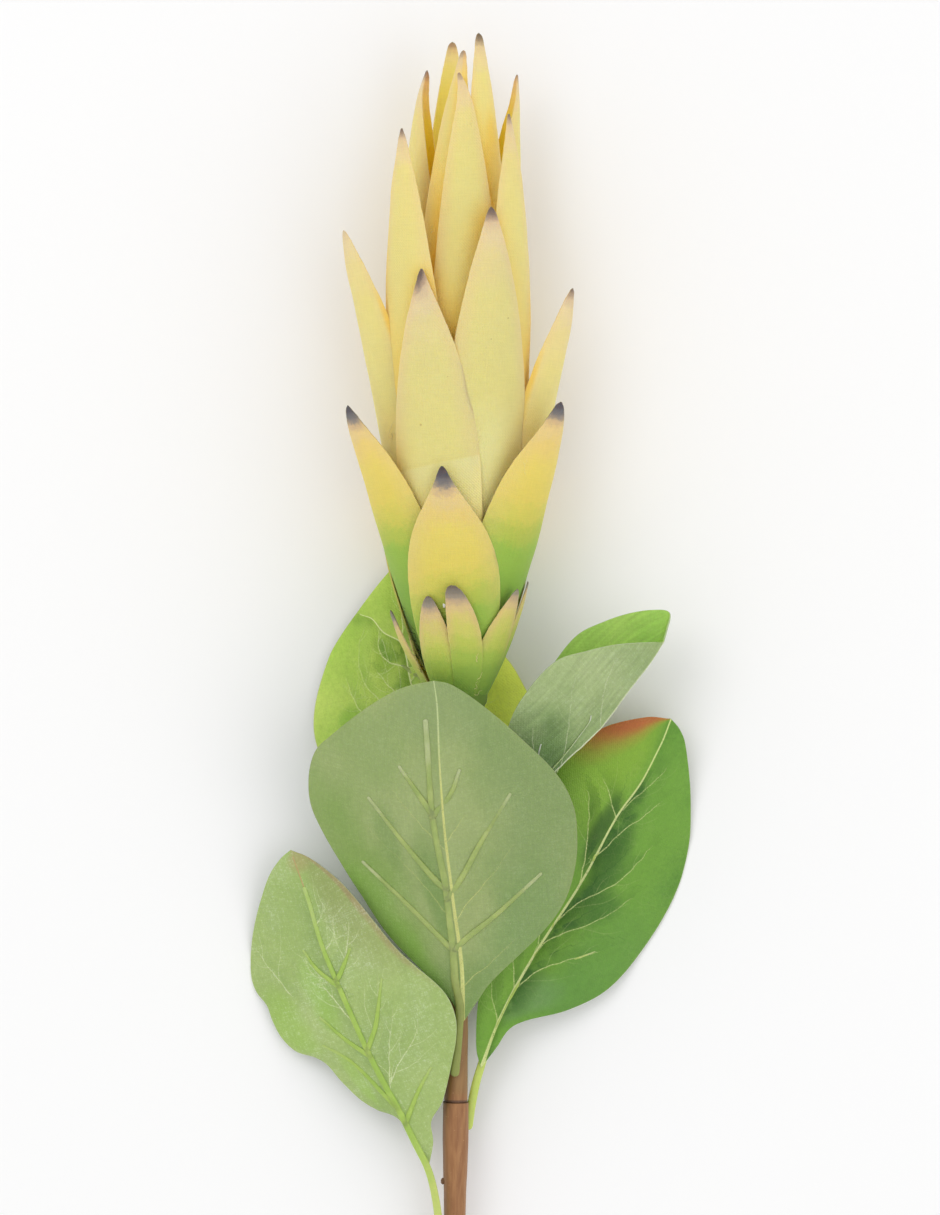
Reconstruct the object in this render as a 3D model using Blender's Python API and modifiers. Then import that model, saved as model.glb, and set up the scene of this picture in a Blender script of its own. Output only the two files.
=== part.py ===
"""Artificial protea stem, laid on its back: fabric bracts, printed fabric leaves, moulded ribs, covered stem.

Metres, +Z up, the surface at z = 0. The flower lies along Y with its tips towards +Y.
Everything is drawn from the flower's base: X to the right of the head's axis, Y along it towards the tips,
Z above the surface. One empty moves the whole to the middle of its own outline.
"""
import math
from collections import namedtuple

import bmesh
import bpy
from mathutils import Vector

# Place of the whole: the middle of its outline on the surface, seen from the head's base
MIDDLE_X = 0.0031
MIDDLE_Y = -0.0315
HEAD_HEIGHT = 0.0245

# Flat spot where the lowest bract rests: half its width and its reach along the head
FLAT_HALF_WIDTH = 0.008
FLAT_FROM = 0.045
FLAT_TO = 0.085
FLAT_DEPTH = 0.004

# Fabric and moulded ribs
BLADE_THICKNESS = 0.0007
BRACT_THICKNESS = 0.0007
SEAT_GAP = 0.0003
PETIOLE_RADIUS = 0.0010
RIB_END_RADIUS = 0.0005
SIDE_RIB_RADIUS = 0.0006
SIDE_RIB_END_RADIUS = 0.0004
RIB_LENGTH_SHARE = 0.86

# How finely the fabric is divided
BLADE_STEPS = (16, 8)
BRACT_STEPS = (8, 4)
SMALL_BRACT_STEPS = (5, 4)
RIB_STEPS = 15
RIB_SEATS = 7
SIDE_RIB_STEPS = 3
TURNED_STEPS = 24
STEM_ROUNDNESS = 4
RIB_ROUNDNESS = 1
SIDE_RIB_ROUNDNESS = 0

# Vertices nearer than this are one: at the points of a leaf, and after a union
POINT_WELD = 0.00002
UNION_WELD = 0.000005

# Bract outline: how wide the foot is beside the widest place, where that is, how blunt the tip is, and how
# the edge runs in to it
FOOT_SHARE = 0.56
WIDEST_AT = 0.45
TIP_SHARE = 0.05
OUTLINE_POWER = 1.8
# A bract is rolled about the head's axis at its foot and tighter at its tip
TIP_ROLL_SHARE = 0.45

# Stem: points of its axis and its radius at each
LOWER_STEM = (
    (-0.0022, -0.2500, 0.0035, 0.0033),
    (-0.0018, -0.2100, 0.0053, 0.0032),
    (-0.0013, -0.1600, 0.0088, 0.0031),
    (-0.0012, -0.1440, 0.0101, 0.0031),
    (-0.0010, -0.1250, 0.0118, 0.0036),
    (-0.0009, -0.1131, 0.0130, 0.0036),
)
UPPER_STEM = (
    (-0.0009, -0.1128, 0.0130, 0.0033),
    (-0.0006, -0.0950, 0.0150, 0.0031),
    (-0.0004, -0.0700, 0.0178, 0.0029),
    (-0.0002, -0.0300, 0.0222, 0.0027),
    (0.0000, -0.0120, 0.0241, 0.0027),
    (0.0000, -0.0050, 0.0245, 0.0027),
)
STEM_STEP = 0.009

# Receptacle and the two sleeves, each turned about the head's axis: radius and height, top to bottom
RECEPTACLE = (
    (0.0000, 0.1150),
    (0.0045, 0.1100),
    (0.0080, 0.0850),
    (0.0120, 0.0450),
    (0.0122, 0.0330),
    (0.0100, 0.0220),
    (0.0045, 0.0150),
    (0.0045, -0.0040),
    (0.0000, -0.0047),
)
GREEN_SLEEVE = (
    (0.0080, 0.0138),
    (0.0095, 0.0115),
    (0.0078, 0.0060),
    (0.0049, 0.0060),
    (0.0049, 0.0138),
)
BASAL_SLEEVE = (
    (0.0062, 0.0055),
    (0.0083, 0.0042),
    (0.0078, -0.0005),
    (0.0065, -0.0030),
    (0.0049, -0.0030),
    (0.0049, 0.0055),
)

# Each bract: turn round the axis from the front, heights of foot and tip, four radii at even heights, width,
# radius of its roll across, how far the tip leans sideways, and how far it twists by its tip
Bract = namedtuple("Bract", "turn foot tip radii width roll lean twist", defaults=(0.0200, 0.0, 0.0))

INNER_ROW = (
    Bract(-22, 0.034, 0.182, (0.0095, 0.0150, 0.0155, 0.0050), 0.0180, lean=0.0030),
    Bract(36, 0.034, 0.187, (0.0095, 0.0150, 0.0160, 0.0095), 0.0170),
    Bract(125, 0.034, 0.175, (0.0095, 0.0160, 0.0195, 0.0190), 0.0195, roll=0.0110),
    Bract(-166, 0.034, 0.184, (0.0095, 0.0150, 0.0155, 0.0080), 0.0200),
    Bract(-130, 0.034, 0.176, (0.0095, 0.0155, 0.0200, 0.0115), 0.0240, roll=0.0065),
)
MIDDLE_ROW = (
    Bract(4, 0.028, 0.175, (0.0105, 0.0205, 0.0215, 0.0110), 0.0205),
    Bract(45, 0.028, 0.164, (0.0105, 0.0210, 0.0235, 0.0195), 0.0205),
    Bract(-42, 0.028, 0.160, (0.0105, 0.0210, 0.0250, 0.0232), 0.0235),
    Bract(104, 0.028, 0.158, (0.0105, 0.0205, 0.0225, 0.0175), 0.0215),
    Bract(170, 0.028, 0.168, (0.0105, 0.0200, 0.0215, 0.0150), 0.0220),
    Bract(-108, 0.028, 0.162, (0.0105, 0.0205, 0.0225, 0.0175), 0.0215),
)
OUTER_ROW = (
    Bract(26, 0.022, 0.138, (0.0098, 0.0225, 0.0240, 0.0205), 0.0225),
    Bract(-19, 0.022, 0.120, (0.0098, 0.0240, 0.0258, 0.0215), 0.0250, lean=-0.0035),
    Bract(-74, 0.022, 0.131, (0.0098, 0.0225, 0.0225, 0.0335), 0.0235, roll=0.0120, twist=40),
    Bract(74, 0.022, 0.115, (0.0098, 0.0225, 0.0235, 0.0325), 0.0230, roll=0.0120, twist=-40),
    Bract(140, 0.022, 0.128, (0.0098, 0.0225, 0.0235, 0.0210), 0.0230),
    Bract(-150, 0.022, 0.122, (0.0098, 0.0225, 0.0235, 0.0210), 0.0235),
)
GREEN_ROW = (
    Bract(-3, 0.008, 0.065, (0.0080, 0.0185, 0.0262, 0.0240), 0.0280, lean=-0.0035),
    Bract(60, 0.008, 0.083, (0.0080, 0.0200, 0.0262, 0.0330), 0.0285, twist=-10),
    Bract(-65, 0.008, 0.082, (0.0080, 0.0195, 0.0244, 0.0345), 0.0280, twist=10),
    Bract(124, 0.008, 0.074, (0.0080, 0.0190, 0.0255, 0.0265), 0.0240),
    Bract(180, 0.008, 0.080, (0.0080, 0.0198, 0.0270, 0.0236), 0.0260),
    Bract(-126, 0.008, 0.070, (0.0080, 0.0190, 0.0255, 0.0265), 0.0240),
)
BASAL_ROW = (
    Bract(-26, 0.000, 0.029, (0.0070, 0.0136, 0.0178, 0.0197), 0.0102, roll=0.0110),
    Bract(12, 0.001, 0.032, (0.0068, 0.0134, 0.0178, 0.0202), 0.0102, roll=0.0130, lean=-0.0060),
    Bract(44, 0.000, 0.031, (0.0070, 0.0136, 0.0178, 0.0205), 0.0110, roll=0.0110, lean=0.0028),
    Bract(88, 0.000, 0.033, (0.0068, 0.0130, 0.0172, 0.0194), 0.0098, roll=0.0110),
    Bract(132, 0.000, 0.029, (0.0068, 0.0130, 0.0172, 0.0194), 0.0098, roll=0.0110),
    Bract(180, 0.000, 0.028, (0.0068, 0.0130, 0.0172, 0.0190), 0.0098, roll=0.0110),
    Bract(-132, 0.000, 0.028, (0.0068, 0.0130, 0.0172, 0.0194), 0.0098, roll=0.0110),
    Bract(-84, 0.000, 0.025, (0.0068, 0.0130, 0.0172, 0.0192), 0.0088, roll=0.0110),
)

# Each leaf: midrib and both margins as smooth lines from base to tip, which face is up, how far its halves
# belly, its petiole from the stem to the base, and its side ribs (start and end along the leaf, end across it)
Leaf = namedtuple("Leaf", "name midrib left right face belly petiole side_ribs")

UPPER_FACE_UP = 1
UNDERSIDE_UP = -1

EVEN_SIDE_RIBS = (
    (0.20, 0.40, -0.62),
    (0.20, 0.40, 0.62),
    (0.38, 0.58, -0.58),
    (0.38, 0.58, 0.58),
    (0.58, 0.74, -0.45),
    (0.58, 0.74, 0.45),
)

LEAVES = (
    Leaf(
        "front",
        midrib=(
            (0.0011, -0.0904, 0.0200),
            (0.0008, -0.0745, 0.0225),
            (-0.0017, -0.0552, 0.0275),
            (-0.0039, -0.0372, 0.0330),
            (-0.0053, -0.0188, 0.0380),
            (-0.0060, -0.0020, 0.0410),
            (-0.0070, 0.0055, 0.0412),
        ),
        left=(
            (0.0011, -0.0904, 0.0200),
            (-0.0025, -0.0837, 0.0198),
            (-0.0095, -0.0767, 0.0182),
            (-0.0210, -0.0644, 0.0145),
            (-0.0330, -0.0459, 0.0165),
            (-0.0403, -0.0325, 0.0210),
            (-0.0420, -0.0230, 0.0250),
            (-0.0403, -0.0146, 0.0280),
            (-0.0353, -0.0095, 0.0310),
            (-0.0252, -0.0017, 0.0355),
            (-0.0160, 0.0034, 0.0390),
            (-0.0070, 0.0055, 0.0412),
        ),
        right=(
            (0.0011, -0.0904, 0.0200),
            (0.0056, -0.0837, 0.0205),
            (0.0098, -0.0781, 0.0205),
            (0.0227, -0.0658, 0.0205),
            (0.0291, -0.0574, 0.0215),
            (0.0322, -0.0482, 0.0230),
            (0.0330, -0.0389, 0.0250),
            (0.0319, -0.0294, 0.0280),
            (0.0269, -0.0202, 0.0315),
            (0.0168, -0.0101, 0.0365),
            (0.0070, -0.0017, 0.0400),
            (-0.0017, 0.0042, 0.0415),
            (-0.0070, 0.0055, 0.0412),
        ),
        face=UNDERSIDE_UP,
        belly=-0.0015,
        petiole=((-0.0012, -0.1045, 0.0186), (-0.0006, -0.0985, 0.0197), (0.0003, -0.0925, 0.0211)),
        side_ribs=(
            (0.22, 0.43, -0.75),
            (0.22, 0.45, 0.70),
            (0.39, 0.61, -0.62),
            (0.39, 0.62, 0.48),
            (0.60, 0.74, -0.38),
            (0.60, 0.74, 0.20),
        ),
    ),
    Leaf(
        "lower_left",
        midrib=(
            (-0.0085, -0.1308, 0.0130),
            (-0.0148, -0.1190, 0.0155),
            (-0.0241, -0.1014, 0.0165),
            (-0.0305, -0.0874, 0.0160),
            (-0.0372, -0.0714, 0.0150),
            (-0.0440, -0.0512, 0.0130),
            (-0.0473, -0.0423, 0.0120),
        ),
        left=(
            (-0.0085, -0.1308, 0.0130),
            (-0.0174, -0.1176, 0.0130),
            (-0.0252, -0.1134, 0.0115),
            (-0.0347, -0.1047, 0.0075),
            (-0.0448, -0.0994, 0.0045),
            (-0.0520, -0.0913, 0.0018),
            (-0.0582, -0.0806, 0.0004),
            (-0.0591, -0.0750, 0.0006),
            (-0.0577, -0.0680, 0.0018),
            (-0.0554, -0.0560, 0.0060),
            (-0.0507, -0.0465, 0.0100),
            (-0.0473, -0.0423, 0.0120),
        ),
        right=(
            (-0.0085, -0.1308, 0.0130),
            (-0.0073, -0.1243, 0.0142),
            (-0.0078, -0.1182, 0.0160),
            (-0.0045, -0.1123, 0.0185),
            (-0.0020, -0.1014, 0.0208),
            (-0.0008, -0.0946, 0.0222),
            (-0.0011, -0.0882, 0.0240),
            (-0.0039, -0.0820, 0.0232),
            (-0.0116, -0.0750, 0.0210),
            (-0.0185, -0.0686, 0.0190),
            (-0.0300, -0.0546, 0.0182),
            (-0.0353, -0.0493, 0.0170),
            (-0.0420, -0.0445, 0.0145),
            (-0.0473, -0.0423, 0.0120),
        ),
        face=UNDERSIDE_UP,
        belly=-0.0012,
        petiole=(
            (-0.0054, -0.1620, 0.0106),
            (-0.0054, -0.1520, 0.0122),
            (-0.0063, -0.1420, 0.0136),
            (-0.0085, -0.1325, 0.0145),
        ),
        side_ribs=EVEN_SIDE_RIBS,
    ),
    Leaf(
        "lower_right",
        midrib=(
            (0.0062, -0.1035, 0.0125),
            (0.0104, -0.0924, 0.0112),
            (0.0157, -0.0818, 0.0100),
            (0.0235, -0.0689, 0.0088),
            (0.0347, -0.0518, 0.0080),
            (0.0448, -0.0333, 0.0085),
            (0.0554, -0.0160, 0.0110),
            (0.0596, -0.0054, 0.0130),
        ),
        left=(
            (0.0062, -0.1035, 0.0125),
            (0.0048, -0.0972, 0.0132),
            (0.0056, -0.0834, 0.0140),
            (0.0092, -0.0644, 0.0135),
            (0.0148, -0.0476, 0.0125),
            (0.0213, -0.0322, 0.0120),
            (0.0291, -0.0179, 0.0122),
            (0.0389, -0.0087, 0.0130),
            (0.0518, -0.0050, 0.0135),
            (0.0596, -0.0054, 0.0130),
        ),
        right=(
            (0.0062, -0.1035, 0.0125),
            (0.0106, -0.0977, 0.0120),
            (0.0140, -0.0927, 0.0112),
            (0.0190, -0.0902, 0.0100),
            (0.0308, -0.0874, 0.0065),
            (0.0417, -0.0818, 0.0035),
            (0.0518, -0.0706, 0.0012),
            (0.0608, -0.0552, 0.0004),
            (0.0647, -0.0420, 0.0008),
            (0.0652, -0.0272, 0.0030),
            (0.0638, -0.0137, 0.0080),
            (0.0622, -0.0087, 0.0110),
            (0.0596, -0.0054, 0.0130),
        ),
        face=UPPER_FACE_UP,
        belly=0.0012,
        petiole=((0.0026, -0.1200, 0.0087), (0.0037, -0.1130, 0.0095), (0.0056, -0.1050, 0.0108)),
        side_ribs=EVEN_SIDE_RIBS,
    ),
    Leaf(
        "upper_right",
        midrib=(
            (0.0087, -0.0420, 0.0205),
            (0.0170, -0.0290, 0.0210),
            (0.0270, -0.0195, 0.0215),
            (0.0389, -0.0081, 0.0220),
            (0.0470, 0.0025, 0.0240),
            (0.0532, 0.0104, 0.0262),
            (0.0571, 0.0162, 0.0285),
        ),
        left=(
            (0.0087, -0.0420, 0.0205),
            (0.0110, -0.0290, 0.0208),
            (0.0160, -0.0110, 0.0180),
            (0.0225, 0.0030, 0.0162),
            (0.0272, 0.0112, 0.0165),
            (0.0333, 0.0182, 0.0180),
            (0.0403, 0.0218, 0.0195),
            (0.0470, 0.0241, 0.0210),
            (0.0540, 0.0252, 0.0230),
            (0.0590, 0.0245, 0.0245),
            (0.0582, 0.0196, 0.0265),
            (0.0571, 0.0162, 0.0285),
        ),
        right=(
            (0.0087, -0.0420, 0.0205),
            (0.0105, -0.0250, 0.0245),
            (0.0140, -0.0067, 0.0295),
            (0.0193, 0.0028, 0.0320),
            (0.0272, 0.0109, 0.0335),
            (0.0356, 0.0137, 0.0340),
            (0.0431, 0.0154, 0.0335),
            (0.0496, 0.0160, 0.0320),
            (0.0571, 0.0162, 0.0285),
        ),
        face=UPPER_FACE_UP,
        belly=-0.0015,
        petiole=((0.0038, -0.0580, 0.0188), (0.0052, -0.0510, 0.0190), (0.0085, -0.0445, 0.0188)),
        side_ribs=EVEN_SIDE_RIBS,
    ),
    Leaf(
        "back",
        midrib=(
            (0.0003, -0.0378, 0.0165),
            (-0.0030, -0.0224, 0.0130),
            (-0.0080, -0.0056, 0.0098),
            (-0.0123, 0.0112, 0.0075),
            (-0.0157, 0.0280, 0.0065),
            (-0.0180, 0.0380, 0.0065),
        ),
        left=(
            (0.0003, -0.0378, 0.0165),
            (-0.0110, -0.0290, 0.0145),
            (-0.0250, -0.0240, 0.0115),
            (-0.0360, -0.0196, 0.0085),
            (-0.0403, -0.0120, 0.0068),
            (-0.0406, -0.0020, 0.0052),
            (-0.0372, 0.0104, 0.0045),
            (-0.0333, 0.0179, 0.0042),
            (-0.0246, 0.0300, 0.0050),
            (-0.0180, 0.0380, 0.0065),
        ),
        right=(
            (0.0003, -0.0378, 0.0165),
            (0.0110, -0.0290, 0.0140),
            (0.0213, -0.0126, 0.0108),
            (0.0227, -0.0042, 0.0090),
            (0.0188, 0.0028, 0.0075),
            (0.0143, 0.0104, 0.0062),
            (0.0060, 0.0196, 0.0048),
            (-0.0025, 0.0280, 0.0030),
            (-0.0110, 0.0355, 0.0042),
            (-0.0180, 0.0380, 0.0065),
        ),
        face=UPPER_FACE_UP,
        belly=0.0010,
        petiole=((-0.0006, -0.0560, 0.0148), (-0.0003, -0.0480, 0.0151), (0.0001, -0.0400, 0.0152)),
        side_ribs=EVEN_SIDE_RIBS,
    ),
)

# Finish of each material: colour, roughness
FINISHES = {
    "yellow_fabric": ((0.83, 0.73, 0.30, 1.0), 0.80),
    "green_yellow_fabric": ((0.66, 0.66, 0.16, 1.0), 0.80),
    "basal_fabric": ((0.50, 0.55, 0.14, 1.0), 0.80),
    "leaf_fabric": ((0.20, 0.38, 0.09, 1.0), 0.75),
    "rib_plastic": ((0.42, 0.52, 0.14, 1.0), 0.50),
    "stem_plastic": ((0.30, 0.12, 0.05, 1.0), 0.55),
}


def empty_the_file():
    for thing in list(bpy.data.objects):
        bpy.data.objects.remove(thing, do_unlink=True)


def new_collection(name):
    collection = bpy.data.collections.new(name)
    bpy.context.scene.collection.children.link(collection)
    return collection


def finish(name):
    colour, roughness = FINISHES[name]
    material = bpy.data.materials.get(name)
    if material is None:
        material = bpy.data.materials.new(name)
        material.use_nodes = True
        shader = material.node_tree.nodes["Principled BSDF"]
        shader.inputs["Base Color"].default_value = colour
        shader.inputs["Roughness"].default_value = roughness
        shader.inputs["Metallic"].default_value = 0.0
    return material


def new_object(name, mesh, collection):
    thing = bpy.data.objects.new(name, mesh)
    collection.objects.link(thing)
    return thing


class SmoothLine:
    """A smooth line through chosen points, read by its share of length from 0 to 1."""

    STEPS_PER_SPAN = 12

    def __init__(self, points):
        points = [Vector(point) for point in points]
        first = points[0] * 2 - points[1]
        last = points[-1] * 2 - points[-2]
        knots = [first, *points, last]
        self.line = [points[0]]
        for index in range(1, len(knots) - 2):
            before, start, end, after = knots[index - 1:index + 3]
            for step in range(1, self.STEPS_PER_SPAN + 1):
                self.line.append(self.between(before, start, end, after, step / self.STEPS_PER_SPAN))
        self.lengths = [0.0]
        for here, there in zip(self.line, self.line[1:]):
            self.lengths.append(self.lengths[-1] + (there - here).length)

    @staticmethod
    def between(before, start, end, after, share):
        """Catmull-Rom between start and end."""
        turn_out = (end - before) * 0.5
        turn_in = (after - start) * 0.5
        square = share * share
        cube = square * share
        return (
            start * (2 * cube - 3 * square + 1)
            + turn_out * (cube - 2 * square + share)
            + end * (3 * square - 2 * cube)
            + turn_in * (cube - square)
        )

    def at(self, share):
        wanted = min(max(share, 0.0), 1.0) * self.lengths[-1]
        index = 1
        while index < len(self.lengths) - 1 and self.lengths[index] < wanted:
            index += 1
        span = self.lengths[index] - self.lengths[index - 1]
        part = (wanted - self.lengths[index - 1]) / span if span else 0.0
        return self.line[index - 1].lerp(self.line[index], part)

    def heading(self, share):
        step = 0.01
        return (self.at(share + step) - self.at(share - step)).normalized()

    def length(self):
        return self.lengths[-1]


class Blade:
    """The surface of one leaf between its midrib and its margins."""

    def __init__(self, leaf):
        self.leaf = leaf
        self.midrib = SmoothLine(leaf.midrib)
        self.left = SmoothLine(leaf.left)
        self.right = SmoothLine(leaf.right)

    def half_normal(self, along, side):
        """Up from the upper face of one half. side is -1 on the left and 1 on the right."""
        along = min(max(along, 0.04), 0.96)
        margin = self.left if side < 0 else self.right
        outwards = margin.at(along) - self.midrib.at(along)
        return (outwards.cross(self.midrib.heading(along)) * side).normalized() * self.leaf.face

    def point(self, along, across):
        """Base to tip as 0 to 1 along, left margin to right margin as -1 to 1 across."""
        side = -1 if across < 0 else 1
        share = abs(across)
        margin = self.left if side < 0 else self.right
        flat = self.midrib.at(along).lerp(margin.at(along), share)
        ends = math.sin(math.pi * along)
        belly = self.leaf.belly * 4 * share * (1 - share) * ends
        return flat + self.half_normal(along, side) * belly

    def underside(self, along, across):
        """Away from the upper face, near enough at any place on the blade."""
        share = 0.5 + 0.5 * min(max(across * 3, -1.0), 1.0)
        left = self.half_normal(along, -1)
        right = self.half_normal(along, 1)
        return -(left * (1 - share) + right * share).normalized()

    def rib_point(self, along, across, radius):
        """The middle of a rib of that radius, seated on the underside."""
        lift = BLADE_THICKNESS / 2 + SEAT_GAP + radius
        return self.point(along, across) + self.underside(along, across) * lift


def bract_radius(radii, share):
    """Four radii at even heights, as a cubic Bezier."""
    rest = 1 - share
    foot, low, high, tip = radii
    return rest ** 3 * foot + 3 * rest ** 2 * share * low + 3 * rest * share ** 2 * high + share ** 3 * tip


def bract_half_width(bract, share):
    if share < WIDEST_AT:
        narrowing = ((WIDEST_AT - share) / WIDEST_AT) ** 2
        part = 1 - (1 - FOOT_SHARE) * narrowing
    else:
        part = 1 - ((share - WIDEST_AT) / (1 - WIDEST_AT)) ** OUTLINE_POWER
    return bract.width / 2 * max(part, TIP_SHARE)


def bract_point(bract, share, across):
    """A point of the bract's surface in the head's own frame, whose Z is the axis and whose -Y is the front."""
    step = 0.01
    height = bract.foot + (bract.tip - bract.foot) * share
    radius = bract_radius(bract.radii, share)
    rise = (bract.tip - bract.foot) * 2 * step
    spread = bract_radius(bract.radii, share + step) - bract_radius(bract.radii, share - step)
    slope = math.hypot(rise, spread)
    out_of_face = rise / slope
    up_in_face = -spread / slope
    roll = bract.roll * (1 - (1 - TIP_ROLL_SHARE) * share ** 2)
    angle = across * bract_half_width(bract, share) / roll
    twist = math.radians(bract.twist) * share ** 2
    straight = roll * math.sin(angle)
    sunk = roll * (1 - math.cos(angle))
    sideways = straight * math.cos(twist) - sunk * math.sin(twist) + bract.lean * share ** 2
    inwards = straight * math.sin(twist) + sunk * math.cos(twist)
    radius -= inwards * out_of_face
    height -= inwards * up_in_face
    turn = math.radians(bract.turn)
    return Vector((
        radius * math.sin(turn) + sideways * math.cos(turn),
        -radius * math.cos(turn) + sideways * math.sin(turn),
        height,
    ))


def sheet_mesh(name, place, steps, thickness):
    """A sheet moved by a formula, split alike on both faces, with its thickness centred on it."""
    along_steps, across_steps = steps
    sheet = bmesh.new()
    bmesh.ops.create_grid(sheet, x_segments=across_steps, y_segments=along_steps, size=1.0)
    for vertex in sheet.verts:
        vertex.co = place((vertex.co.y + 1) / 2, vertex.co.x)
    bmesh.ops.remove_doubles(sheet, verts=sheet.verts, dist=POINT_WELD)
    bmesh.ops.triangulate(sheet, faces=sheet.faces)
    mesh = bpy.data.meshes.new(name)
    sheet.to_mesh(mesh)
    sheet.free()
    holder = bpy.data.objects.new(name, mesh)
    bpy.context.scene.collection.objects.link(holder)
    wall = holder.modifiers.new("thickness", "SOLIDIFY")
    wall.thickness = thickness
    wall.offset = 0.0
    return baked_mesh(holder)


def baked_mesh(holder):
    """The evaluated mesh of an object, which is then removed."""
    bpy.context.view_layer.update()
    evaluated = holder.evaluated_get(bpy.context.evaluated_depsgraph_get())
    mesh = bpy.data.meshes.new_from_object(evaluated)
    mesh.transform(holder.matrix_world)
    bpy.data.objects.remove(holder, do_unlink=True)
    mesh.update()
    return mesh


def outwards(mesh):
    """Welds a mesh and turns its faces out."""
    shape = bmesh.new()
    shape.from_mesh(mesh)
    bmesh.ops.remove_doubles(shape, verts=shape.verts, dist=UNION_WELD)
    bmesh.ops.recalc_face_normals(shape, faces=shape.faces)
    shape.to_mesh(mesh)
    shape.free()
    return mesh


def turned_mesh(name, profile, closed):
    """A profile turned about Z. A ring's profile is closed, a solid's ends on the axis."""
    outline = bpy.data.meshes.new(name)
    points = [(radius, 0, height) for radius, height in profile]
    edges = [(index, index + 1) for index in range(len(points) - 1)]
    if closed:
        edges.append((len(points) - 1, 0))
    outline.from_pydata(points, edges, [])
    holder = bpy.data.objects.new(name, outline)
    bpy.context.scene.collection.objects.link(holder)
    screw = holder.modifiers.new("turn", "SCREW")
    screw.axis = "Z"
    screw.steps = TURNED_STEPS
    screw.render_steps = TURNED_STEPS
    screw.use_merge_vertices = True
    screw.merge_threshold = UNION_WELD
    return outwards(baked_mesh(holder))


def tube_mesh(name, points, radii, roundness):
    """A tube along a line of points, closed at both ends."""
    curve = bpy.data.curves.new(name, "CURVE")
    curve.dimensions = "3D"
    curve.bevel_depth = 1.0
    curve.bevel_resolution = roundness
    curve.use_fill_caps = True
    spline = curve.splines.new("POLY")
    spline.points.add(len(points) - 1)
    for knot, point, radius in zip(spline.points, points, radii):
        knot.co = (*point, 1.0)
        knot.radius = radius
    holder = bpy.data.objects.new(name, curve)
    bpy.context.scene.collection.objects.link(holder)
    return outwards(baked_mesh(holder))


def apply_modifiers(thing):
    """Keeps the evaluated mesh and drops slivers shorter than the thinnest gap."""
    bpy.context.view_layer.update()
    evaluated = thing.evaluated_get(bpy.context.evaluated_depsgraph_get())
    mesh = bpy.data.meshes.new_from_object(evaluated)
    thing.modifiers.clear()
    thing.data = outwards(mesh)


def fused(name, body, additions, collection):
    """One solid from a body and the meshes that grow from it."""
    thing = new_object(name, body, collection)
    joined = new_collection(name + "_additions")
    for index, mesh in enumerate(additions):
        new_object(f"{name}_addition_{index}", mesh, joined)
    union = thing.modifiers.new("union", "BOOLEAN")
    union.operation = "UNION"
    union.operand_type = "COLLECTION"
    union.collection = joined
    union.solver = "EXACT"
    apply_modifiers(thing)
    for piece in list(joined.objects):
        bpy.data.objects.remove(piece, do_unlink=True)
    bpy.data.collections.remove(joined)
    return thing


def shade(thing, angle_degrees, material):
    thing.data.materials.clear()
    thing.data.materials.append(finish(material))
    thing.data.shade_smooth()
    thing.data.set_sharp_from_angle(angle=math.radians(angle_degrees))


def bract_meshes(name, row, steps):
    meshes = []
    for index, bract in enumerate(row):
        def place(along, across, bract=bract):
            return bract_point(bract, along, across)
        meshes.append(sheet_mesh(f"{name}_{index}", place, steps, BRACT_THICKNESS))
    return meshes


def flat_spot_cutter(cutters):
    """A box just below the surface, in the head's own frame, where the surface is at y = HEAD_HEIGHT."""
    shape = bmesh.new()
    bmesh.ops.create_cube(shape, size=1.0)
    size = Vector((2 * FLAT_HALF_WIDTH, FLAT_DEPTH, FLAT_TO - FLAT_FROM))
    middle = Vector((0, HEAD_HEIGHT + FLAT_DEPTH / 2, (FLAT_FROM + FLAT_TO) / 2))
    bmesh.ops.scale(shape, verts=shape.verts, vec=size)
    bmesh.ops.translate(shape, verts=shape.verts, vec=middle)
    mesh = bpy.data.meshes.new("flat_spot_cutter")
    shape.to_mesh(mesh)
    shape.free()
    cutter = new_object("flat_spot_cutter", mesh, cutters)
    cutter.hide_render = True
    cutter.display_type = "WIRE"
    return cutter


def make_head(parts, cutters, base):
    """The head is modelled upright about its own Z and laid down by its turn."""
    receptacle = turned_mesh("receptacle", RECEPTACLE, closed=False)
    yellow = bract_meshes("inner", INNER_ROW, BRACT_STEPS)
    yellow += bract_meshes("middle", MIDDLE_ROW, BRACT_STEPS)
    yellow += bract_meshes("outer", OUTER_ROW, BRACT_STEPS)
    yellow_bracts = fused("yellow_bracts", receptacle, yellow, parts)
    shade(yellow_bracts, 40, "yellow_fabric")

    sleeve = turned_mesh("green_sleeve", GREEN_SLEEVE, closed=True)
    green_bracts = fused("green_bracts", sleeve, bract_meshes("green", GREEN_ROW, BRACT_STEPS), parts)
    rest = green_bracts.modifiers.new("flat_spot", "BOOLEAN")
    rest.operation = "DIFFERENCE"
    rest.solver = "EXACT"
    rest.object = flat_spot_cutter(cutters)
    apply_modifiers(green_bracts)
    shade(green_bracts, 40, "green_yellow_fabric")

    sleeve = turned_mesh("basal_sleeve", BASAL_SLEEVE, closed=True)
    basal = bract_meshes("basal", BASAL_ROW, SMALL_BRACT_STEPS)
    basal_bracts = fused("basal_bracts", sleeve, basal, parts)
    shade(basal_bracts, 40, "basal_fabric")

    for thing in (yellow_bracts, green_bracts, basal_bracts):
        thing.parent = base
        thing.location = (0, 0, HEAD_HEIGHT)
        thing.rotation_euler = (-math.pi / 2, 0, 0)


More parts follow.
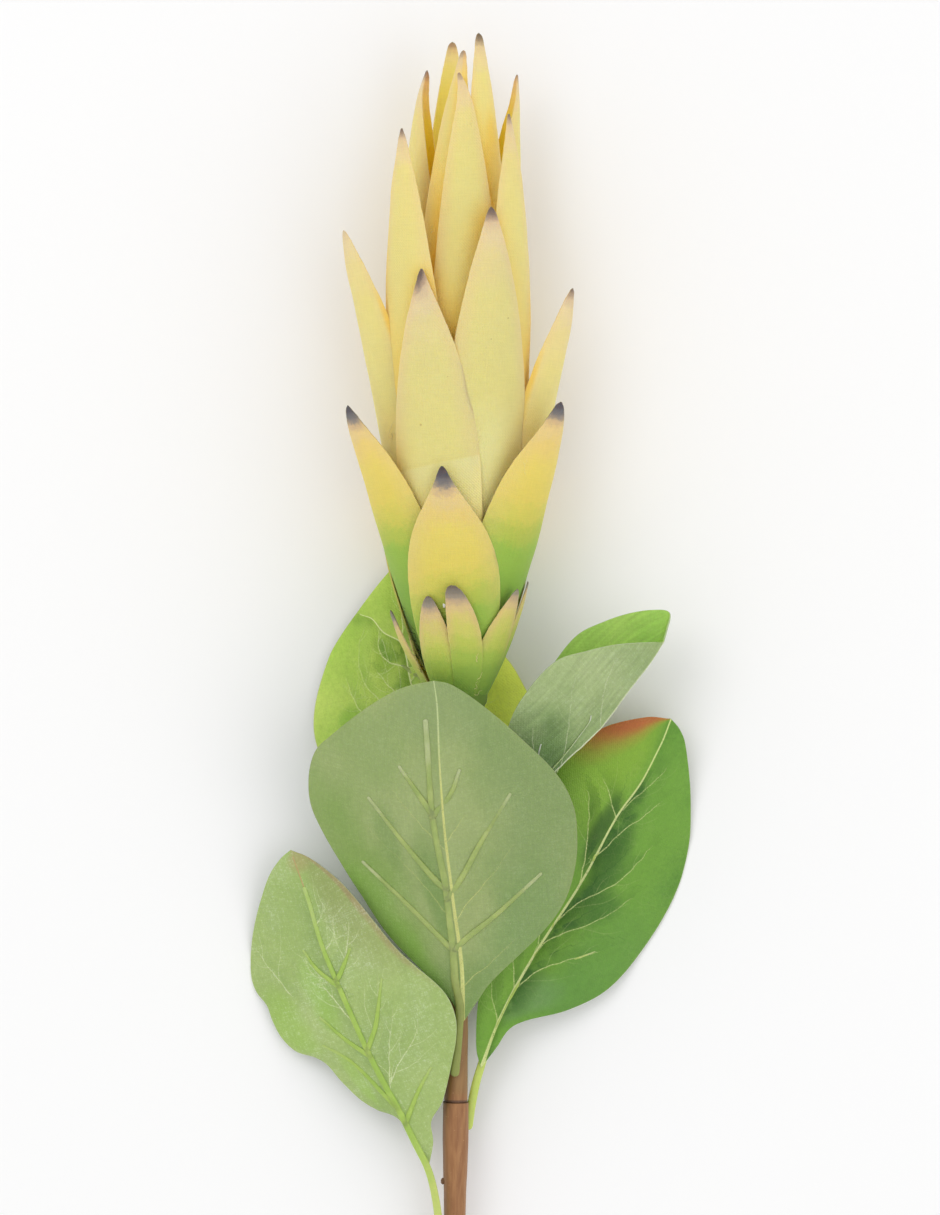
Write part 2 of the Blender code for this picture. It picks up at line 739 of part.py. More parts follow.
def make_stem(parts, base):
    for name, points in (("stem_lower", LOWER_STEM), ("stem_upper", UPPER_STEM)):
        axis = SmoothLine([point[:3] for point in points])
        size = SmoothLine([(point[1], point[3], 0) for point in points])
        steps = round(axis.length() / STEM_STEP)
        shares = [step / steps for step in range(steps + 1)]
        places = [axis.at(share) for share in shares]
        radii = [size.at(share).y for share in shares]
        stem = new_object(name, tube_mesh(name, places, radii, STEM_ROUNDNESS), parts)
        shade(stem, 50, "stem_plastic")
        stem.parent = base


def rib_mesh(name, line, start_radius, end_radius, steps, roundness):
    points = [line(step / steps) for step in range(steps + 1)]
    radii = [start_radius + (end_radius - start_radius) * step / steps for step in range(steps + 1)]
    return tube_mesh(name, points, radii, roundness)


def make_rib(blade, parts, base):
    """The petiole and midrib are one tapered bar. The side ribs grow from it."""
    leaf = blade.leaf
    points = list(leaf.petiole)
    for seat in range(1, RIB_SEATS + 1):
        along = RIB_LENGTH_SHARE * seat / RIB_SEATS
        radius = PETIOLE_RADIUS + (RIB_END_RADIUS - PETIOLE_RADIUS) * along
        points.append(blade.rib_point(along, 0.0, radius))
    bar = SmoothLine(points)
    name = "leaf_" + leaf.name + "_rib"
    bar_mesh = rib_mesh(name, bar.at, PETIOLE_RADIUS, RIB_END_RADIUS, RIB_STEPS, RIB_ROUNDNESS)
    additions = []
    for index, (start, end, reach) in enumerate(leaf.side_ribs):
        def line(share, start=start, end=end, reach=reach):
            along = start + (end - start) * share
            return blade.rib_point(along, reach * share, SIDE_RIB_RADIUS)
        side_name = f"{name}_{index}"
        additions.append(rib_mesh(
            side_name, line, SIDE_RIB_RADIUS, SIDE_RIB_END_RADIUS, SIDE_RIB_STEPS, SIDE_RIB_ROUNDNESS
        ))
    rib = fused(name, bar_mesh, additions, parts)
    shade(rib, 50, "rib_plastic")
    rib.parent = base


def make_leaf(leaf, parts, base):
    blade = Blade(leaf)
    name = "leaf_" + leaf.name + "_blade"
    sheet = new_object(name, outwards(sheet_mesh(name, blade.point, BLADE_STEPS, BLADE_THICKNESS)), parts)
    shade(sheet, 40, "leaf_fabric")
    sheet.parent = base
    make_rib(blade, parts, base)


def main():
    empty_the_file()
    parts = new_collection("protea_flower")
    cutters = new_collection("cutters")
    base = bpy.data.objects.new("flower_base", None)
    base.location = (-MIDDLE_X, -MIDDLE_Y, 0)
    parts.objects.link(base)
    make_head(parts, cutters, base)
    make_stem(parts, base)
    for leaf in LEAVES:
        make_leaf(leaf, parts, base)


main()
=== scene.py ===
"""Artificial protea laid on its cut stem: dyed cloth bracts, printed cloth leaves, moulded ribs and stem.

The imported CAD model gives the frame. Each of its nodes is replaced here by finer pieces in the same place.
"""
import bisect
import math
import random
from collections import namedtuple

import bmesh
import bpy
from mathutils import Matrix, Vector, bvhtree, kdtree, noise


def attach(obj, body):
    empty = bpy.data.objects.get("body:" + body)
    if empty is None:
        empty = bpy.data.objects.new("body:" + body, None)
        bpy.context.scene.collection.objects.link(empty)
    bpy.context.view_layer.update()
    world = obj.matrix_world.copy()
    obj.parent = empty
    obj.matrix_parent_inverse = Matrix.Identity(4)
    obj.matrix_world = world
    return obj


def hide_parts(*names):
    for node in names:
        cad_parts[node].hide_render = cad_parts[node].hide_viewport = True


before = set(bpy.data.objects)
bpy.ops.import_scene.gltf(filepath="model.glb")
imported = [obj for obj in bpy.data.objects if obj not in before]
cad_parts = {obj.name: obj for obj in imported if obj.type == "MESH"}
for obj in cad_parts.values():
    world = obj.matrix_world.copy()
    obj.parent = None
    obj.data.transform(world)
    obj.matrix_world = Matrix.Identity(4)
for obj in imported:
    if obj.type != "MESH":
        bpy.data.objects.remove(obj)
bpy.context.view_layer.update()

# Place of the whole, in metres: where the head's base is, and how high its axis lies
BASE_X = -0.0031
BASE_Y = 0.0315
HEAD_HEIGHT = 0.0245
MILLIMETRES = 1000

# Cloth: its thickness, and the lowest that its middle lies
CLOTH_THICKNESS = 0.00045
LOWEST_CLOTH = 0.00026
POINT_WELD = 0.00002

# Moulded ribs, and where on the whole rib a side rib's colour begins
PETIOLE_RADIUS = 0.0010
RIB_END_RADIUS = 0.00065
SIDE_RIB_RADIUS = 0.00085
SIDE_RIB_END_RADIUS = 0.00040
RIB_FLATNESS = 0.5
SIDE_RIB_REACH = 0.45

# How finely each piece is divided, along and across
BRACT_STEPS = (72, 20)
BASAL_STEPS = (30, 14)
LEAF_STEPS = (128, 96)
RIB_STEPS = (80, 16)
SIDE_RIB_STEPS = (40, 14)
WIRE_STEPS = (8, 16)
THREAD_STEPS = (12, 4)
STEM_STEP = 0.0016
STEM_SIDES = 36
TURNED_SIDES = 48

# Outline of a bract: how wide the foot is beside the widest place, where that is, how the edge runs in to the
# tip, over what length the tip is rounded and over what length it stays narrow, how much tighter the tip
# is rolled, and from where on a hooked tip bends
FOOT_SHARE = 0.56
WIDEST_AT = 0.45
OUTLINE_POWER = 1.8
TIP_ROUNDING = 0.0009
NARROW_LENGTH = 0.0115
TIP_ROLL_SHARE = 0.45
HOOK_FROM = 0.93

# Bract cloth out of its plain form: its ragged cut edge, the wave of its edge, its buckles, and the ridge of
# a glue crease with its half width in millimetres and its rise to the right
RAGGED_EDGE = 0.00012
EDGE_WAVE = 0.00035
BUCKLE = 0.00022
CREASE_RIDGE = 0.00018
CREASE_HALF_WIDTH = 0.9
CREASE_RISE = 0.0026

# Painted golden light between two bracts, for the light bouncing into the shaded gap: how far it reaches, how
# many times that far it still counts, how suddenly it rises, the radius on which it is measured, and its
# steps
GLOW_REACH = 0.0042
GLOW_CUTOFF = 2.2
GLOW_POWER = 1.5
GLOW_RADIUS = 0.0200
GLOW_SPACING = 0.0013

# Leaf cloth out of its plain form: the grooves along the midrib and the side veins with their half widths,
# how far from a vein the cloth has swelled, its own slow swell, and the least half width for twigs
MAIN_GROOVE = 0.00028
MAIN_GROOVE_REACH = 0.0009
SIDE_GROOVE = 0.00026
SIDE_GROOVE_REACH = 0.0007
PILLOW_REACH = 0.0042
LEAF_SWELL = 0.00045
NARROWEST_HALF = 0.004

# Printed veins: the points along each, how far and how often to the metre they sway, how much they fade
# to their ends, and their twigs, each with where it leaves the vein and how far it turns away, in degrees.
# Twigs grow shorter along their vein and end at a share of the way to the margin
VEIN_SAMPLES = 160
TWIG_SAMPLES = 24
VEIN_SWAY = 0.0004
VEIN_SWAY_SCALE = 330
VEIN_FADING = 0.7
TWIGS = ((0.16, 38), (0.27, -42), (0.38, -40), (0.50, 36), (0.60, 34), (0.71, -38), (0.81, -34), (0.90, 30))
TWIG_LENGTH = 0.0120
TWIG_SHORTENING = 1.15
TWIG_LIMIT = 0.97

# Where random waves begin: the step from one bract, and from one leaf, to the next
BRACT_SEED_STEP = 7.3
LEAF_SEED_STEP = 11.0

# How far a lump of glue or a scar departs from round, as a share of its size
LUMP_UNEVENNESS = 0.22

# Stem: points of its axis and its radius at each, from the head's base, how uneven its skin is, how round
# its ends are, and where its joint line and its cut end are
LOWER_STEM = (
    (-0.0022, -0.2496, 0.0035, 0.0033), (-0.0018, -0.2100, 0.0053, 0.0032),
    (-0.0013, -0.1600, 0.0088, 0.0031), (-0.0012, -0.1440, 0.0101, 0.0031),
    (-0.0010, -0.1250, 0.0118, 0.0036), (-0.0009, -0.1131, 0.0130, 0.0036),
)
UPPER_STEM = (
    (-0.0009, -0.1128, 0.0130, 0.0033), (-0.0006, -0.0950, 0.0150, 0.0031),
    (-0.0004, -0.0700, 0.0178, 0.0029), (-0.0002, -0.0300, 0.0222, 0.0027),
    (0.0000, -0.0120, 0.0241, 0.0027), (0.0000, -0.0050, 0.0245, 0.0027),
)
STEM_UNEVENNESS = 0.00008
STEM_END_ROUNDNESS = 0.10
JOINT_HEIGHT = -0.1129
CUT_HEIGHT = -0.2494

# Parts of the stem: the wire core, the scar of glue where the front leaf's stalk ends, and a bud scar
WIRE_RADIUS = 0.0008
WIRE_LINE = ((-0.0022, -0.2460, 0.0036), (-0.0022, -0.24995, 0.0035))
GLUE_SCAR = ((-0.0012, -0.1034, 0.0172), (0.0008, 0.0011, 0.0006))
BUD_SCAR = ((-0.0045, -0.1355, 0.0112), (0.0007, 0.0009, 0.0008))

# Foam core and the two sleeves, turned about the head's axis: radius and height, top to bottom. They are
# dyed as the bracts are so many millimetres below the tip
CORE_DEPTH = 90.0
FOAM_CORE = (
    (0.0000, 0.1150), (0.0030, 0.1135), (0.0045, 0.1100), (0.0080, 0.0850), (0.0120, 0.0450),
    (0.0122, 0.0330), (0.0100, 0.0220), (0.0045, 0.0150), (0.0045, -0.0040), (0.0000, -0.0047),
)
GREEN_SLEEVE = (
    (0.0080, 0.0138), (0.0095, 0.0115), (0.0078, 0.0060), (0.0049, 0.0060), (0.0049, 0.0138),
)
BASAL_SLEEVE = (
    (0.0062, 0.0055), (0.0083, 0.0042), (0.0078, -0.0005), (0.0065, -0.0030), (0.0049, -0.0030),
    (0.0049, 0.0055),
)

# The numbers of a bract, with lengths in metres, heights from the head's base and angles in degrees.
# turn, foot, tip: its turn round the axis from the front, and the heights of its foot and its tip
# radii, width, roll: four radii at even heights, its width, and the radius of its roll across
# lean, twist, hook: how far its tip leans, how far it twists, and how far its last part bends sideways
# blunt, narrow: half the width of its blunt tip, and how narrow it stays behind its tip
# warm, yellow: how orange its inner face is, and how yellow its cloth
# grey, skew: how grey its tip is, and how much greyer on its left
# turned_out, gold_edge: the side of the picture where its golden face shows, and where its edge is golden
# crease, lopsided: the height of a glue crease, and how lopsided its dye is
BRACT_FIELDS = (
    "turn foot tip radii width roll lean twist blunt warm grey skew hook yellow narrow "
    "turned_out gold_edge crease lopsided"
)
BRACT_DEFAULTS = (0.0200, 0.0, 0.0, 0.0005, 0.5, 1.0, 0.0, 0.0, 0.0, 0.08, 0, 0, 0.0, 0.0)
Bract = namedtuple("Bract", BRACT_FIELDS, defaults=BRACT_DEFAULTS)

INNER_ROW = (
    Bract(-19, 0.034, 0.1815, (0.0095, 0.0180, 0.0195, 0.0050), 0.0180, lean=0.0031, grey=0.5, warm=0.6,
          turned_out=1, blunt=0.0008),
    Bract(36, 0.034, 0.1862, (0.0095, 0.0150, 0.0160, 0.0095), 0.0170, blunt=0.0011, grey=1.2, yellow=0.1),
    Bract(104, 0.034, 0.1752, (0.0095, 0.0160, 0.0190, 0.0168), 0.0335, roll=0.0076, warm=0.8, blunt=0.0014,
          grey=0.4),
    Bract(-166, 0.034, 0.1846, (0.0095, 0.0150, 0.0155, 0.0078), 0.0190, blunt=0.0012, warm=0.0, grey=0.7,
          yellow=0.4),
    Bract(-104, 0.034, 0.1765, (0.0095, 0.0155, 0.0215, 0.0100), 0.0335, roll=0.0076, warm=1.0, blunt=0.0018,
          grey=0.9, hook=-0.0030),
)
MIDDLE_ROW = (
    Bract(7.5, 0.028, 0.175, (0.0105, 0.0205, 0.0215, 0.0110), 0.0212, grey=0.3, hook=-0.0015),
    Bract(48, 0.028, 0.1634, (0.0105, 0.0212, 0.0242, 0.0187), 0.0210, grey=0.6, lean=-0.0002),
    Bract(-42, 0.028, 0.1592, (0.0105, 0.0210, 0.0250, 0.0232), 0.0235, hook=-0.0005, grey=0.8),
    Bract(104, 0.028, 0.150, (0.0105, 0.0205, 0.0225, 0.0155), 0.0215),
    Bract(170, 0.028, 0.158, (0.0105, 0.0200, 0.0215, 0.0150), 0.0220),
    Bract(-108, 0.028, 0.153, (0.0105, 0.0205, 0.0225, 0.0160), 0.0215),
)
OUTER_ROW = (
    Bract(27.5, 0.022, 0.1371, (0.0098, 0.0225, 0.0248, 0.0226), 0.0280, lean=-0.0016, blunt=0.0009,
          grey=1.1),
    Bract(-16, 0.022, 0.120, (0.0098, 0.0240, 0.0258, 0.0240), 0.0262, lean=-0.0040, grey=1.4, skew=0.9,
          narrow=0.22, crease=0.0662),
    Bract(-74, 0.022, 0.131, (0.0098, 0.0225, 0.0225, 0.0335), 0.0235, roll=0.0120, twist=40, warm=0.7,
          grey=-0.7, gold_edge=1),
    Bract(78, 0.022, 0.115, (0.0098, 0.0230, 0.0250, 0.0325), 0.0218, roll=0.0120, twist=-40, warm=0.7,
          grey=0.5, gold_edge=-1),
    Bract(140, 0.022, 0.128, (0.0098, 0.0225, 0.0235, 0.0210), 0.0230),
    Bract(-150, 0.022, 0.122, (0.0098, 0.0225, 0.0235, 0.0210), 0.0235),
)
GREEN_ROW = (
    Bract(-3, 0.008, 0.065, (0.0080, 0.0185, 0.0262, 0.0240), 0.0280, lean=-0.0035, blunt=0.0008, narrow=0.46,
          lopsided=4.0),
    Bract(59, 0.008, 0.083, (0.0080, 0.0200, 0.0262, 0.0330), 0.0325, twist=-10, blunt=0.0013, grey=0.6,
          narrow=0.32),
    Bract(-64, 0.008, 0.082, (0.0080, 0.0195, 0.0246, 0.0345), 0.0305, twist=10, grey=0.5, narrow=0.06),
    Bract(124, 0.008, 0.074, (0.0080, 0.0190, 0.0255, 0.0265), 0.0240, narrow=0.4),
    Bract(180, 0.008, 0.080, (0.0080, 0.0198, 0.0270, 0.0236), 0.0260, narrow=0.4),
    Bract(-126, 0.008, 0.070, (0.0080, 0.0190, 0.0255, 0.0265), 0.0240, narrow=0.4),
)
BASAL_ROW = (
    Bract(-26, 0.000, 0.029, (0.0070, 0.0136, 0.0178, 0.0197), 0.0106, roll=0.0110, blunt=0.0012, grey=0.8,
          narrow=0.15),
    Bract(13, 0.001, 0.032, (0.0078, 0.0145, 0.0189, 0.0207), 0.0093, roll=0.0130, lean=-0.0068, blunt=0.0019,
          grey=1.1, narrow=0.0),
    Bract(44, 0.000, 0.031, (0.0068, 0.0132, 0.0176, 0.0205), 0.0110, roll=0.0110, lean=0.0028, grey=0.3),
    Bract(85, 0.000, 0.033, (0.0068, 0.0130, 0.0172, 0.0194), 0.0098, roll=0.0110, grey=0.3),
    Bract(132, 0.000, 0.029, (0.0068, 0.0130, 0.0172, 0.0194), 0.0098, roll=0.0110),
    Bract(180, 0.000, 0.028, (0.0068, 0.0130, 0.0172, 0.0190), 0.0098, roll=0.0110),
    Bract(-132, 0.000, 0.028, (0.0068, 0.0130, 0.0172, 0.0194), 0.0098, roll=0.0110),
    Bract(-80, 0.000, 0.025, (0.0068, 0.0130, 0.0172, 0.0195), 0.0084, roll=0.0110, blunt=0.0009, grey=0.9),
)

# What a leaf says. A rib or a vein is a line of places, each a share along the leaf and a share across it.
# midrib, left, right: the midrib from base to tip, and both margins between those two points
# face, belly: which face is up, and how far its halves belly
# petiole, rib, side_ribs: the stalk, and the moulded midrib and side ribs on its underside
# midvein, midvein_widths: the printed midrib, and its widths at base and tip
# veins: the printed side veins, each with its strength
# wave, pillow: how far the cloth's edge waves, and how far the cloth swells between its veins
# rib_size, vein_widths: its ribs' thickness beside the usual, and the side veins' widths at both ends
LEAF_FIELDS = (
    "name midrib left right face belly petiole rib side_ribs midvein midvein_widths veins "
    "wave pillow rib_size vein_widths"
)
Leaf = namedtuple("Leaf", LEAF_FIELDS, defaults=((0.00026, 0.00018),))

UPPER_FACE_UP = 1
UNDERSIDE_UP = -1

STRAIGHT_VEIN = ((0.0, 0.0), (0.25, 0.0), (0.50, 0.0), (0.75, 0.0), (1.0, 0.0))
PLAIN_RIB = ((0.10, 0.0), (0.30, 0.0), (0.50, 0.0), (0.70, 0.0), (0.86, 0.0))
PLAIN_SIDE_RIBS = (
    ((0.20, 0.0), (0.30, -0.28), (0.42, -0.62)),
    ((0.20, 0.0), (0.30, 0.28), (0.42, 0.62)),
    ((0.38, 0.0), (0.48, -0.26), (0.60, -0.58)),
    ((0.38, 0.0), (0.48, 0.26), (0.60, 0.58)),
    ((0.58, 0.0), (0.66, -0.20), (0.75, -0.45)),
    ((0.58, 0.0), (0.66, 0.20), (0.75, 0.45)),
)

LEAVES = (
    Leaf(
        "front",
        midrib=(
            (0.0011, -0.0904, 0.0200), (0.0008, -0.0745, 0.0225), (-0.0017, -0.0552, 0.0275),
            (-0.0039, -0.0372, 0.0330), (-0.0053, -0.0188, 0.0380), (-0.0060, -0.0020, 0.0410),
            (-0.0070, 0.0055, 0.0412),
        ),
        left=(
            (-0.0025, -0.0837, 0.0198), (-0.0095, -0.0767, 0.0182), (-0.0210, -0.0644, 0.0145),
            (-0.0330, -0.0459, 0.0165), (-0.0403, -0.0325, 0.0210), (-0.0420, -0.0230, 0.0250),
            (-0.0403, -0.0146, 0.0280), (-0.0353, -0.0095, 0.0310), (-0.0252, -0.0017, 0.0355),
            (-0.0160, 0.0034, 0.0390),
        ),
        right=(
            (0.0056, -0.0837, 0.0205), (0.0098, -0.0781, 0.0205), (0.0227, -0.0658, 0.0205),
            (0.0291, -0.0574, 0.0215), (0.0322, -0.0482, 0.0230), (0.0330, -0.0389, 0.0250),
            (0.0319, -0.0294, 0.0280), (0.0269, -0.0202, 0.0315), (0.0168, -0.0101, 0.0365),
            (0.0070, -0.0017, 0.0400), (-0.0017, 0.0042, 0.0415),
        ),
        face=UNDERSIDE_UP,
        belly=-0.0015,
        petiole=((-0.0012, -0.1045, 0.0186), (-0.0006, -0.0985, 0.0197), (-0.0001, -0.0925, 0.0215)),
        rib=((0.05, -0.25), (0.12, -0.20), (0.21, -0.10), (0.39, -0.05), (0.48, -0.06), (0.61, -0.08),
             (0.79, -0.12), (0.87, -0.20)),
        side_ribs=(
            ((0.21, -0.10), (0.24, -0.22), (0.33, -0.48), (0.44, -0.76)),
            ((0.21, -0.08), (0.25, 0.12), (0.32, 0.40), (0.42, 0.72)),
            ((0.39, -0.05), (0.42, -0.15), (0.51, -0.32), (0.62, -0.54)),
            ((0.36, -0.05), (0.43, 0.10), (0.52, 0.26), (0.63, 0.56)),
            ((0.61, -0.08), (0.67, -0.20), (0.72, -0.34)),
            ((0.60, -0.08), (0.67, 0.08), (0.73, 0.20)),
        ),
        midvein=STRAIGHT_VEIN,
        midvein_widths=(0.0011, 0.0003),
        veins=(
            (0.5, ((0.29, 0.0), (0.34, 0.10), (0.41, 0.28), (0.50, 0.50))),
            (0.5, ((0.10, 0.0), (0.12, 0.20), (0.17, 0.56), (0.25, 0.74))),
            (0.5, ((0.53, 0.0), (0.60, 0.16))),
            (0.3, ((0.29, 0.0), (0.34, -0.14), (0.43, -0.32), (0.54, -0.58))),
            (0.3, ((0.50, 0.0), (0.56, -0.14), (0.66, -0.38))),
        ),
        wave=0.0005,
        pillow=0.00030,
        rib_size=1.15,
    ),
    Leaf(
        "lower_left",
        midrib=(
            (-0.0085, -0.1308, 0.0130), (-0.0148, -0.1190, 0.0155), (-0.0241, -0.1014, 0.0165),
            (-0.0305, -0.0874, 0.0160), (-0.0372, -0.0714, 0.0150), (-0.0440, -0.0512, 0.0130),
            (-0.0473, -0.0423, 0.0120),
        ),
        left=(
            (-0.0160, -0.1180, 0.0130), (-0.0224, -0.1156, 0.0120), (-0.0280, -0.1124, 0.0104),
            (-0.0322, -0.1082, 0.0084), (-0.0364, -0.1031, 0.0072), (-0.0403, -0.1007, 0.0066),
            (-0.0458, -0.0992, 0.0050), (-0.0500, -0.0957, 0.0032), (-0.0524, -0.0911, 0.0026),
            (-0.0541, -0.0864, 0.0024), (-0.0572, -0.0825, 0.0010), (-0.0589, -0.0777, 0.0004),
            (-0.0589, -0.0732, 0.0006), (-0.0572, -0.0616, 0.0036), (-0.0540, -0.0510, 0.0080),
            (-0.0505, -0.0452, 0.0106),
        ),
        right=(
            (-0.0073, -0.1243, 0.0142), (-0.0078, -0.1182, 0.0160), (-0.0045, -0.1123, 0.0185),
            (-0.0020, -0.1014, 0.0208), (-0.0008, -0.0946, 0.0222), (-0.0011, -0.0882, 0.0240),
            (-0.0039, -0.0820, 0.0232), (-0.0116, -0.0750, 0.0210), (-0.0185, -0.0686, 0.0190),
            (-0.0300, -0.0546, 0.0182), (-0.0353, -0.0493, 0.0170), (-0.0420, -0.0445, 0.0145),
        ),
        face=UNDERSIDE_UP,
        belly=-0.0012,
        petiole=(
            (-0.0054, -0.1620, 0.0106), (-0.0054, -0.1520, 0.0122), (-0.0063, -0.1420, 0.0136),
            (-0.0085, -0.1325, 0.0145),
        ),
        rib=((0.08, 0.0), (0.18, 0.01), (0.27, 0.0), (0.37, 0.0), (0.48, 0.0), (0.60, 0.0), (0.71, -0.01),
             (0.84, 0.02), (0.88, 0.02)),
        side_ribs=(
            ((0.19, 0.0), (0.24, -0.16), (0.35, -0.42), (0.43, -0.58)),
            ((0.14, 0.0), (0.17, 0.22), (0.23, 0.50), (0.28, 0.70)),
            ((0.36, 0.0), (0.43, -0.24), (0.51, -0.38)),
            ((0.38, 0.0), (0.41, 0.10), (0.45, 0.22), (0.56, 0.54)),
            ((0.60, 0.0), (0.62, 0.12), (0.67, 0.40)),
            ((0.58, 0.0), (0.64, -0.16), (0.70, -0.26)),
        ),
        midvein=((0.0, 0.0), (0.30, 0.0), (0.60, 0.0), (0.71, 0.0), (0.84, 0.02), (0.98, 0.0)),
        midvein_widths=(0.0005, 0.0003),
        veins=(
            (0.9, ((0.46, 0.0), (0.50, -0.06), (0.56, -0.13), (0.61, -0.21))),
            (0.7, ((0.58, 0.0), (0.61, -0.12), (0.63, -0.22), (0.68, -0.30))),
            (0.6, ((0.59, -0.60), (0.63, -0.64), (0.67, -0.72), (0.73, -0.96))),
            (0.8, ((0.23, 0.0), (0.28, 0.10), (0.37, 0.24), (0.47, 0.44))),
            (0.8, ((0.27, 0.10), (0.34, 0.38), (0.39, 0.58), (0.46, 0.68))),
            (0.7, ((0.40, 0.0), (0.43, 0.16), (0.48, 0.28), (0.57, 0.52))),
            (0.9, ((0.60, 0.0), (0.64, 0.20), (0.74, 0.64))),
            (0.6, ((0.69, 0.0), (0.72, 0.24), (0.77, 0.34))),
            (0.6, ((0.77, 0.02), (0.79, 0.20), (0.83, 0.40))),
        ),
        wave=0.0010,
        pillow=0.00060,
        rib_size=0.95,
    ),
    Leaf(
        "lower_right",
        midrib=(
            (0.0062, -0.1035, 0.0125), (0.0104, -0.0924, 0.0112), (0.0157, -0.0818, 0.0100),
            (0.0235, -0.0689, 0.0088), (0.0347, -0.0518, 0.0080), (0.0448, -0.0333, 0.0085),
            (0.0554, -0.0160, 0.0110), (0.0596, -0.0054, 0.0130),
        ),
        left=(
            (0.0048, -0.0972, 0.0132), (0.0056, -0.0834, 0.0140), (0.0092, -0.0644, 0.0135),
            (0.0148, -0.0476, 0.0125), (0.0213, -0.0322, 0.0120), (0.0291, -0.0179, 0.0122),
            (0.0389, -0.0087, 0.0130), (0.0518, -0.0050, 0.0135),
        ),
        right=(
            (0.0106, -0.0977, 0.0120), (0.0140, -0.0927, 0.0112), (0.0190, -0.0902, 0.0100),
            (0.0308, -0.0874, 0.0065), (0.0417, -0.0818, 0.0035), (0.0518, -0.0706, 0.0012),
            (0.0608, -0.0552, 0.0004), (0.0647, -0.0420, 0.0008), (0.0652, -0.0272, 0.0030),
            (0.0638, -0.0137, 0.0080), (0.0622, -0.0087, 0.0110),
        ),
        face=UPPER_FACE_UP,
        belly=0.0012,
        petiole=((0.0026, -0.1200, 0.0087), (0.0037, -0.1130, 0.0095), (0.0056, -0.1050, 0.0108)),
        rib=PLAIN_RIB,
        side_ribs=PLAIN_SIDE_RIBS,
        midvein=((0.0, 0.0), (0.12, -0.02), (0.22, -0.03), (0.35, -0.03), (0.53, -0.02), (0.72, -0.02),
                 (0.82, 0.02), (0.91, -0.02), (1.0, 0.0)),
        midvein_widths=(0.0012, 0.0004),
        veins=(
            (0.8, ((0.19, -0.02), (0.24, 0.06), (0.29, 0.16), (0.35, 0.38), (0.40, 0.58))),
            (0.8, ((0.31, -0.02), (0.36, 0.03), (0.41, 0.18), (0.46, 0.36), (0.54, 0.54))),
            (0.8, ((0.40, -0.02), (0.44, 0.03), (0.49, 0.10), (0.57, 0.34), (0.67, 0.52))),
            (0.7, ((0.59, -0.02), (0.62, 0.02), (0.69, 0.14), (0.78, 0.46))),
            (0.5, ((0.74, 0.0), (0.79, 0.10), (0.87, 0.40))),
            (0.6, ((0.11, -0.03), (0.14, -0.26), (0.17, -0.56), (0.21, -0.76))),
            (0.6, ((0.21, -0.03), (0.25, -0.26), (0.28, -0.42), (0.33, -0.62))),
            (0.6, ((0.31, -0.04), (0.38, -0.18), (0.44, -0.30), (0.50, -0.55))),
            (0.9, ((0.52, -0.03), (0.61, -0.20), (0.69, -0.42), (0.71, -0.52))),
            (0.6, ((0.71, -0.03), (0.74, -0.24), (0.76, -0.44))),
        ),
        wave=0.0006,
        pillow=0.00110,
        rib_size=0.9,
    ),
    Leaf(
        "upper_right",
        midrib=(
            (0.0087, -0.0420, 0.0205), (0.0170, -0.0290, 0.0210), (0.0270, -0.0195, 0.0215),
            (0.0389, -0.0081, 0.0220), (0.0470, 0.0025, 0.0240), (0.0532, 0.0104, 0.0262),
            (0.0571, 0.0162, 0.0285),
        ),
        left=(
            (0.0110, -0.0290, 0.0208), (0.0160, -0.0110, 0.0180), (0.0225, 0.0030, 0.0162),
            (0.0272, 0.0112, 0.0165), (0.0333, 0.0182, 0.0180), (0.0403, 0.0218, 0.0195),
            (0.0470, 0.0241, 0.0210), (0.0540, 0.0252, 0.0230), (0.0590, 0.0245, 0.0245),
            (0.0582, 0.0196, 0.0265),
        ),
        right=(
            (0.0105, -0.0250, 0.0245), (0.0140, -0.0067, 0.0295), (0.0193, 0.0028, 0.0320),
            (0.0272, 0.0109, 0.0335), (0.0356, 0.0137, 0.0340), (0.0431, 0.0154, 0.0335),
            (0.0496, 0.0160, 0.0320),
        ),
        face=UPPER_FACE_UP,
        belly=-0.0015,
        petiole=((0.0038, -0.0580, 0.0188), (0.0052, -0.0510, 0.0190), (0.0085, -0.0445, 0.0188)),
        rib=((0.10, 0.02), (0.25, 0.05), (0.42, 0.08), (0.52, 0.12), (0.59, 0.16), (0.61, 0.20)),
        side_ribs=(
            ((0.20, 0.03), (0.30, 0.24), (0.42, 0.46)),
            ((0.20, 0.0), (0.30, -0.28), (0.42, -0.62)),
            ((0.38, 0.0), (0.48, -0.26), (0.60, -0.58)),
        ),
        midvein=STRAIGHT_VEIN,
        midvein_widths=(0.0008, 0.0004),
        veins=(
            (0.5, ((0.20, 0.0), (0.30, 0.25), (0.45, 0.70))),
            (0.5, ((0.40, 0.0), (0.50, 0.25), (0.66, 0.70))),
            (0.4, ((0.60, 0.0), (0.70, 0.30), (0.84, 0.74))),
            (0.5, ((0.30, 0.0), (0.42, -0.30), (0.55, -0.80))),
            (0.5, ((0.50, 0.0), (0.62, -0.30), (0.74, -0.80))),
        ),
        wave=0.0005,
        pillow=0.00040,
        rib_size=0.45,
    ),
    Leaf(
        "back",
        midrib=(
            (0.0003, -0.0378, 0.0165), (-0.0030, -0.0224, 0.0130), (-0.0080, -0.0056, 0.0098),
            (-0.0123, 0.0112, 0.0075), (-0.0157, 0.0280, 0.0065), (-0.0180, 0.0380, 0.0065),
        ),
        left=(
            (-0.0110, -0.0290, 0.0145), (-0.0250, -0.0240, 0.0115), (-0.0360, -0.0196, 0.0085),
            (-0.0403, -0.0120, 0.0068), (-0.0406, -0.0020, 0.0052), (-0.0372, 0.0104, 0.0045),
            (-0.0333, 0.0179, 0.0042), (-0.0246, 0.0300, 0.0050),
        ),
        right=(
